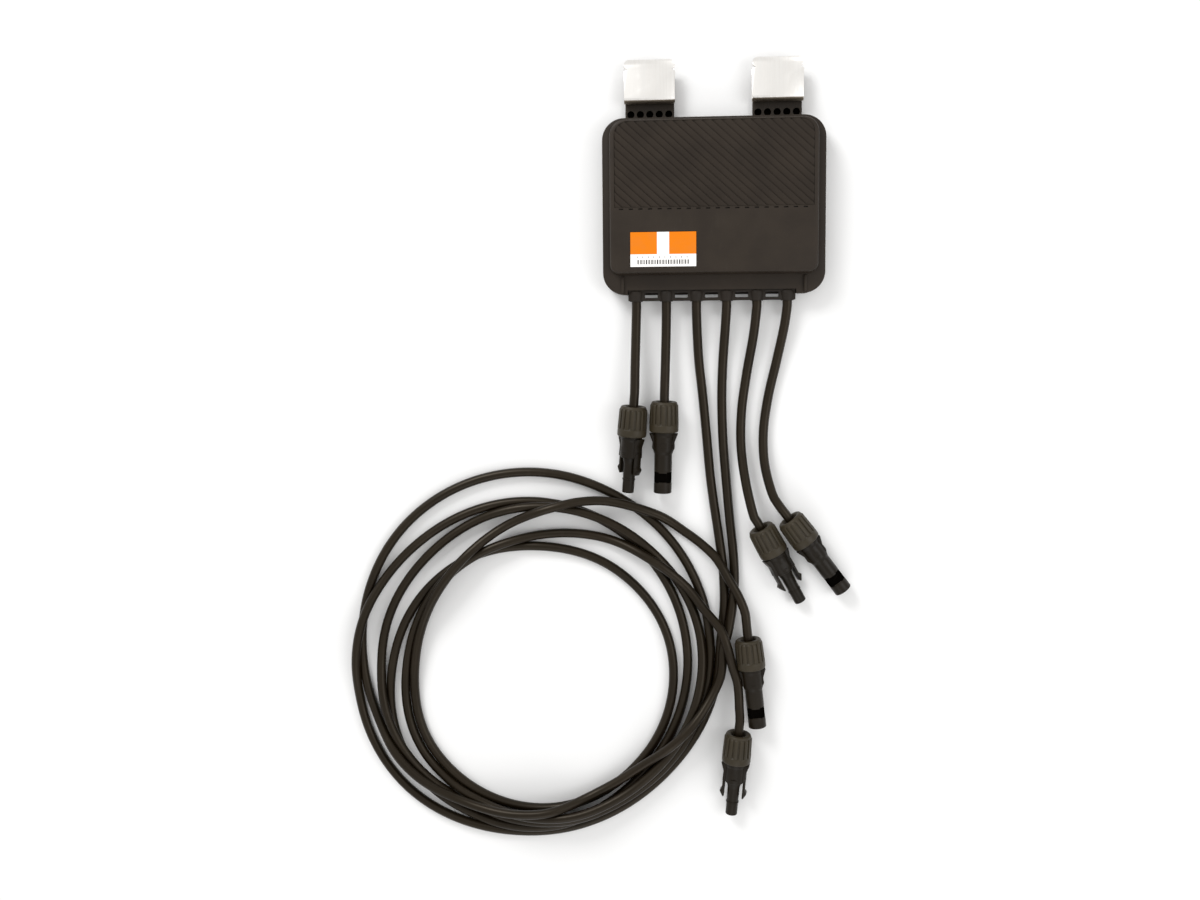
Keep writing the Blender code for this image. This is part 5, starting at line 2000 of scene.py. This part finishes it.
ROUTE_3 = CoiledRoute(
    feed=(
        (-0.0104, -0.0920, 0.0060),
        (-0.0092, -0.1130, 0.0033),
        (-0.0068, -0.1350, 0.0031),
        (-0.0045, -0.1590, 0.0031),
        (-0.0022, -0.1850, 0.0031),
        (0.0002, -0.2040, 0.0031),
        (0.0026, -0.2200, 0.0031),
        (0.0050, -0.2370, 0.0031),
        (0.0064, -0.2490, 0.0031),
        (0.0069, -0.2573, 0.0031),
    ),
    entry=((0.0072, -0.2700, 0.0031), (0.0064, -0.2830, 0.0031), (0.0050, -0.2960, 0.0031)),
    turns=(
        (7, 119.6), (45, 117.5), (90, 123.8), (135, 130.8), (180, 121.7), (225, 106.7), (270, 100.2),
        (315, 97.3), (360, 98.8), (405, 106.2), (450, 119.6), (495, 118.5), (540, 96.3), (585, 79.5),
        (630, 70.6), (675, 76.2), (720, 88.4), (765, 99.5), (810, 107.8), (855, 99.6), (900, 81.5),
        (945, 77.9), (990, 93.8), (1013, 110.2), (1032, 122.2),
    ),
    tail=(
        (-0.0190, -0.2238, 0.0106),
        (-0.0070, -0.2325, 0.0102),
        (0.0025, -0.2415, 0.0099),
        (0.0095, -0.2535, 0.0099),
        (0.0160, -0.2650, 0.0100),
        (0.0203, -0.2755, 0.0102),
    ),
    ranks=(
        (0, 0.5), (150, 1.5), (170, 3.5), (210, 3.0), (270, 1.6), (360, 2.0), (585, 1.2), (720, 2.6),
        (900, 4.0), (945, 5.5), (1013, 7.0),
    ),
    feed_rank=0.5,
    tail_rank=7.5,
)

ROUTE_4 = CoiledRoute(
    feed=(
        (0.0076, -0.0920, 0.0060),
        (0.0062, -0.1130, 0.0033),
        (0.0055, -0.1360, 0.0031),
        (0.0062, -0.1630, 0.0031),
        (0.0083, -0.1900, 0.0031),
        (0.0106, -0.2150, 0.0031),
        (0.0129, -0.2370, 0.0031),
        (0.0137, -0.2490, 0.0031),
        (0.0138, -0.2573, 0.0031),
    ),
    entry=(
        (0.0131, -0.2670, 0.0031),
        (0.0119, -0.2770, 0.0035),
        (0.0095, -0.2900, 0.0060),
        (0.0065, -0.3000, 0.0080),
    ),
    turns=(
        (7, 121.2), (45, 102.2), (90, 106.0), (135, 117.1), (180, 119.0), (225, 121.7), (270, 119.6),
        (298, 116.6), (315, 115.8), (360, 113.8), (405, 113.5), (450, 114.8), (495, 114.3), (540, 105.5),
        (585, 96.5),
        (630, 97.5), (675, 101.3), (720, 108.4), (765, 109.5), (810, 110.6), (855, 106.3), (900, 87.1),
        (945, 77.5), (990, 77.9), (1035, 95.7), (1065, 114.0),
    ),
    tail=(
        (0.0042, -0.2862, 0.0140),
        (0.0092, -0.2990, 0.0150),
        (0.0126, -0.3126, 0.0155),
        (0.0154, -0.3216, 0.0152),
        (0.0165, -0.3309, 0.0140),
        (0.0168, -0.3402, 0.0127),
    ),
    ranks=(
        (0, 1.5), (18, 5.8), (150, 5.8), (172, 2.8), (225, 1.8), (300, 1.8), (360, 2.2), (520, 2.5),
        (640, 3.2), (720, 3.4), (900, 4.2), (945, 4.8), (1010, 7.2), (1065, 8.0),
    ),
    feed_rank=0.6,
    tail_rank=8.5,
)


def hermite(knots: Sequence[float], values: Sequence[float], at: np.ndarray) -> np.ndarray:
    """Smooth interpolation through uneven knots.

    Args:
        knots: Where the values are known.
        values: The values.
        at: Where they are wanted.

    Returns:
        The smooth values.
    """
    x, y = np.asarray(knots, float), np.asarray(values, float)
    slope = np.gradient(y, x)
    index = np.clip(np.searchsorted(x, at) - 1, 0, len(x) - 2)
    width = x[index + 1] - x[index]
    t = (at - x[index]) / width
    start = (2 * t**3 - 3 * t**2 + 1) * y[index] + (t**3 - 2 * t**2 + t) * width * slope[index]
    stop = (3 * t**2 - 2 * t**3) * y[index + 1] + (t**3 - t**2) * width * slope[index + 1]
    return start + stop


def smooth_line(points: Sequence[Point3], spacing: float) -> np.ndarray:
    """Evenly spaced points on a smooth curve through given ones.

    Args:
        points: The points it goes through.
        spacing: The distance between the new ones.

    Returns:
        The new points.
    """
    knots = [Vector(p) for p in points]
    ends = [2 * knots[0] - knots[1]] + knots + [2 * knots[-1] - knots[-2]]
    fine, steps = [], 20
    for before, start, stop, after in zip(ends, ends[1:], ends[2:], ends[3:]):
        for step in range(steps):
            t = step / steps
            curve = 2 * start + (stop - before) * t + (2 * before - 5 * start + 4 * stop - after) * t**2
            fine.append(0.5 * (curve + (3 * start - before - 3 * stop + after) * t**3))
    line = np.array([tuple(p) for p in fine] + [tuple(knots[-1])])
    along = np.concatenate([[0.0], np.cumsum(np.linalg.norm(np.diff(line, axis=0), axis=1))])
    wanted = np.linspace(0.0, along[-1], max(2, math.ceil(along[-1] / spacing)) + 1)
    return np.stack([np.interp(wanted, along, line[:, k]) for k in range(3)], axis=1)


def length_of(line: np.ndarray) -> float:
    """The length of a line of points."""
    return float(np.linalg.norm(np.diff(line, axis=0), axis=1).sum())


@dataclass
class Leads:
    """All six leads."""

    shop: Shop
    comb: Comb
    couplers: dict[int, Coupler]
    spacing: float = 0.0040
    start_y: float = -0.0625
    straight: float = 0.0040
    approach: Point3 = (-0.010, -0.003, 0.0077)
    coil_step: float = 9.0
    coil_height: float = 0.006
    held_y: float = -0.10
    held_points: int = 6
    clearance: float = 0.00612
    near_points: int = 10
    floor: float = CABLE_RADIUS + 0.0001
    gravity: float = 0.000004
    stiffness: float = 0.1
    lift_share: float = 0.60
    sink_share: float = 0.25
    rounds: int = 3000

    def _start(self, number: int) -> list[Point3]:
        """Points that bring a lead straight out of its boot.

        Args:
            number: The lead's number.

        Returns:
            The points, from the inside out.
        """
        x = self.comb.lead_x(number)
        ys = (self.start_y, self.comb.outer_y, self.comb.outer_y - self.straight)
        return [(x, y, self.comb.axis_z) for y in ys]

    def _approach(self, number: int) -> list[Point3]:
        """Points that bring a lead straight into its nut."""
        return [self.couplers[number].on_axis(along) for along in self.approach]

    def _coiled(self, number: int, route: CoiledRoute) -> tuple[np.ndarray, np.ndarray, np.ndarray]:
        """A long lead's line before it is laid down.

        Args:
            number: The lead's number.
            route: Its lay.

        Returns:
            Its points, each point's rank, and which points keep their height.
        """
        degrees = np.array([d for d, _ in route.turns], float)
        radii = np.array([r for _, r in route.turns]) * MM
        steps = np.linspace(degrees[0], degrees[-1], int((degrees[-1] - degrees[0]) / self.coil_step) + 1)
        coil = []
        for angle, radius in zip(np.radians(steps), hermite(degrees, radii, steps)):
            x, y = COIL_CENTRE.x + radius * math.cos(angle), COIL_CENTRE.y - radius * math.sin(angle)
            coil.append((x, y, self.coil_height))
        lead_in = self._start(number) + list(route.feed) + list(route.entry)
        lead_out = list(route.tail) + self._approach(number)
        line = smooth_line(lead_in + coil + lead_out, self.spacing)
        first = int(np.argmin(np.linalg.norm(line - np.array(coil[0]), axis=1)))
        gone = np.linalg.norm(line - np.array(coil[-1]), axis=1)
        gone[: len(line) // 2] = np.inf
        last = int(np.argmin(gone))
        middle = np.degrees(np.unwrap(np.arctan2(COIL_CENTRE.y - line[:, 1], line[:, 0] - COIL_CENTRE.x)))
        middle += degrees[0] - middle[first]
        rank = np.interp(middle, [d for d, _ in route.ranks], [r for _, r in route.ranks])
        rank[: max(0, first - 8)] = route.feed_rank
        rank[last + 2 :] = route.tail_rank
        held = np.zeros(len(line), bool)
        held[line[:, 1] > self.held_y] = True
        held[-self.held_points :] = True
        return line, rank, held

    def _crossings(self, plan: np.ndarray, apart: np.ndarray, rank: np.ndarray) -> tuple[np.ndarray, ...]:
        """Find where strands lie over each other. Each whole crossing has one strand on top.

        Args:
            plan: Every point's place on the floor.
            apart: Which pairs of points may touch at all.
            rank: Every point's rank.

        Returns:
            Indices of the upper points, of the lower ones, and how far apart in height they must be.
        """
        gap = np.linalg.norm(plan[:, None] - plan[None], axis=2)
        waiting = set(zip(*(k.tolist() for k in np.nonzero(np.triu((gap < self.clearance) & apart, 1)))))
        top, under = [], []
        while waiting:
            group = [waiting.pop()]
            for i, j in group:
                for near in product(range(i - 3, i + 4), range(j - 3, j + 4)):
                    if near in waiting:
                        waiting.remove(near)
                        group.append(near)
            lead = sum((self.clearance - gap[i, j]) * (rank[i] - rank[j]) for i, j in group)
            for i, j in group:
                top.append(i if lead > 0 else j)
                under.append(j if lead > 0 else i)
        upper, lower = np.array(top), np.array(under)
        return upper, lower, np.sqrt(self.clearance**2 - gap[upper, lower] ** 2)

    def _lay(
        self, lines: Sequence[np.ndarray], ranks: Sequence[np.ndarray], held: Sequence[np.ndarray]
    ) -> list[np.ndarray]:
        """Let the long leads settle onto the floor and each other.

        Args:
            lines: Their points.
            ranks: Which strand lies on top at a crossing.
            held: Points that keep their height.

        Returns:
            The settled points.
        """
        fixed = np.concatenate(held)
        owner = np.concatenate([[k] * len(line) for k, line in enumerate(lines)])
        index = np.concatenate([np.arange(len(line)) for line in lines])
        apart = (owner[:, None] != owner[None]) | (np.abs(index[:, None] - index[None]) > self.near_points)
        plan = np.concatenate([line[:, :2] for line in lines])
        top, under, lift = self._crossings(plan, apart, np.concatenate(ranks))
        given = np.concatenate([line[:, 2] for line in lines])
        height = np.where(fixed, given, self.floor)
        edges = np.cumsum([len(line) for line in lines])[:-1]
        parts = np.split(np.arange(len(height)), edges)
        for _ in range(self.rounds):
            eased = height - self.gravity
            for part in parts:
                z = height[part]
                bend = z[:-4] - 4 * z[1:-3] + 6 * z[2:-2] - 4 * z[3:-1] + z[4:]
                eased[part[2:-2]] -= self.stiffness * bend
            height = np.where(fixed, given, np.maximum(eased, self.floor))
            need = np.maximum(height[under] + lift - height[top], 0.0)
            push, sink = np.zeros(len(height)), np.zeros(len(height))
            np.maximum.at(push, top, need * self.lift_share)
            np.maximum.at(sink, under, need * self.sink_share)
            height = np.where(fixed, given, np.maximum(height + push - sink, self.floor))
        wrong = np.maximum(height[under] + lift - height[top], 0.0)
        log.info("long leads: highest %.1f mm, worst overlap %.2f mm", height.max() / MM, wrong.max() / MM)
        return [np.column_stack([line[:, :2], height[part]]) for line, part in zip(lines, parts)]

    def _show(self, number: int, line: np.ndarray, nodes: Sequence[str], lay: str) -> None:
        """Args:
            number: The lead's number.
            line: Its centreline.
            nodes: CAD nodes it stands for.
            lay: How it lies. Not used.
        """
        name = f"lead_cable_{number}"
        curve = bpy.data.curves.new(name, "CURVE")
        curve.dimensions = "3D"
        curve.bevel_depth = CABLE_RADIUS
        curve.bevel_resolution = 6
        curve.use_fill_caps = True
        spline = curve.splines.new("POLY")
        spline.points.add(len(line) - 1)
        for point, place in zip(spline.points, line):
            point.co = (*place, 1.0)
        spline.use_smooth = True
        curve.materials.append(self.shop.finishes["jacket_black"])
        cable = linked(name, curve)
        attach(cable, ENCLOSURE)
        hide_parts(*nodes)
        self.comb.lead_x(number)
        round(length_of(line), 3)
        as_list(self.couplers[number].pieces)
        log.info("%s: %.3f m", name, length_of(line))

    def build(self) -> None:
        """Show all six."""
        long_routes = {3: ROUTE_3, 4: ROUTE_4}
        lines, ranks, held = zip(*(self._coiled(number, route) for number, route in long_routes.items()))
        for number, line in zip(long_routes, self._lay(lines, ranks, held)):
            self._show(number, line, [f"lead_{number}_feed", f"lead_{number}_tail", "lead_coil"], "coiled")
        for number, route in SHORT_ROUTES.items():
            line = smooth_line(self._start(number) + list(route) + self._approach(number), self.spacing)
            self._show(number, line, [f"lead_{number}"], "loose")


# Electronics, stage and the whole.


@dataclass
class Electronics:
    """What lies inside the case, carried over from the CAD."""

    shop: Shop

    def dress(self) -> None:
        """Give each node its finish."""
        finishes = {"circuit_board": "board_green", "heat_spreader": "spreader_aluminium"}
        finishes |= {"controller_chip": "package_black", "case_gasket": "seal_black"}
        for word in ("left", "right"):
            finishes[f"power_switch_{word}"] = "package_black"
            finishes[f"input_capacitor_{word}"] = "capacitor_blue"
            finishes[f"signal_toroid_{word}"] = "ferrite_grey"
        for word in ("left", "middle", "right"):
            finishes[f"terminal_block_{word}"] = "terminal_green"
        for node, finish in finishes.items():
            self.shop.dress(node, finish)


@dataclass
class Studio:
    """The floor, the light and the camera."""

    floor_tone: float = 0.83
    floor_size: float = 3.0
    floor_z: float = -0.0001
    sky_tone: tuple[float, ...] = (1.0, 0.995, 0.985, 1.0)
    sky_strength: float = 0.84
    aim: Point3 = (-0.05, -0.15, 0.0)
    camera_place: Point3 = (-0.01485, -0.09318, 0.8000)
    camera_right: Point3 = (0.99733, -0.00888, -0.07254)
    camera_up: Point3 = (0.00182, 0.99531, -0.09671)
    camera_forward: Point3 = (-0.07305, -0.09632, -0.99267)
    lens: float = 36.95

    def floor(self) -> None:
        """Lay a wide pale floor."""
        bm = bmesh.new()
        bmesh.ops.create_grid(bm, x_segments=4, y_segments=4, size=self.floor_size)
        bmesh.ops.translate(bm, vec=(0.0, 0.0, self.floor_z), verts=bm.verts[:])
        mesh = plain_mesh(bm)
        material, kit, shader = start_material("floor_white")
        patches = kit.noise(kit.place(), 3.0, 2.0)
        shade = kit.stretch(patches, 0.3, 0.7, self.floor_tone - 0.01, self.floor_tone)
        mix = kit.node("ShaderNodeCombineColor")
        for socket in mix.inputs[:3]:
            kit.feed(socket, shade)
        kit.feed(shader.inputs["Base Color"], mix.outputs[0])
        shader.inputs["Roughness"].default_value = 0.9
        mesh.materials.append(material)
        linked("floor", mesh)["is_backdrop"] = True

    def light(self) -> None:
        """Soft light from all round, with a large panel above and to the left."""
        bpy.context.scene.view_settings.view_transform = "Standard"
        world = bpy.data.worlds.new("studio")
        world.use_nodes = True
        sky = world.node_tree.nodes["Background"]
        sky.inputs["Color"].default_value = self.sky_tone
        sky.inputs["Strength"].default_value = self.sky_strength
        bpy.context.scene.world = world
        for name, place, energy, size in (
            ("key", (-0.8, 1.0, 1.0), 15.0, 0.6),
            ("fill", (1.0, -0.2, 1.1), 5.0, 0.8),
            ("front", (0.0, -1.4, 0.9), 3.0, 0.8),
        ):
            lamp = bpy.data.lights.new(name, "AREA")
            lamp.energy, lamp.size = energy, size
            thing = linked(name, lamp)
            thing.location = place
            line = Vector(self.aim) - Vector(place)
            thing.rotation_euler = line.to_track_quat("-Z", "Y").to_euler()

    def camera(self) -> None:
        """Set up the camera, nearly straight above."""
        data = bpy.data.cameras.new("camera")
        data.lens, data.sensor_width, data.sensor_fit = self.lens, 36.0, "HORIZONTAL"
        data.clip_start, data.clip_end = 0.01, 20.0
        thing = linked("camera", data)
        back = -Vector(self.camera_forward)
        axes = Matrix((self.camera_right, self.camera_up, back)).transposed()
        thing.matrix_world = Matrix.Translation(self.camera_place) @ axes.to_4x4()
        bpy.context.scene.camera = thing

    def build(self) -> None:
        """Set the whole stage."""
        self.floor()
        self.light()
        self.camera()


def make_couplers(shop: Shop) -> dict[int, Coupler]:
    """Build the six couplers.

    Args:
        shop: The finishes and the frame.

    Returns:
        The couplers by number.
    """
    made = {}
    for number, lay in enumerate(COUPLER_LAYS, 1):
        made[number] = Coupler(shop, number, *lay)
        made[number].build()
    return made


def main() -> None:
    """Build the whole object and its stage."""
    logging.basicConfig(level=logging.INFO, format="%(name)s %(message)s")
    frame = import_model()
    cad_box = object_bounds()
    shop = Shop(frame, Finishes(), Repeater())
    Studio().build()
    comb = Comb(shop)
    couplers = make_couplers(shop)
    Leads(shop, comb, couplers).build()
    tongues = Tongues(shop)
    tongues.clips()
    tongues.pits()
    comb.build()
    case = Case(shop)
    case.casing(tongues, comb)
    case.cover(comb)
    case.label()
    case.screws(tongues)
    Electronics(shop).dress()
    visual_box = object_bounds()
    boxes = {"cad": cad_box, "visual": visual_box}
    {key: [[float(c) for c in corner] for corner in box] for key, box in boxes.items()}


if __name__ == "__main__":
    main()
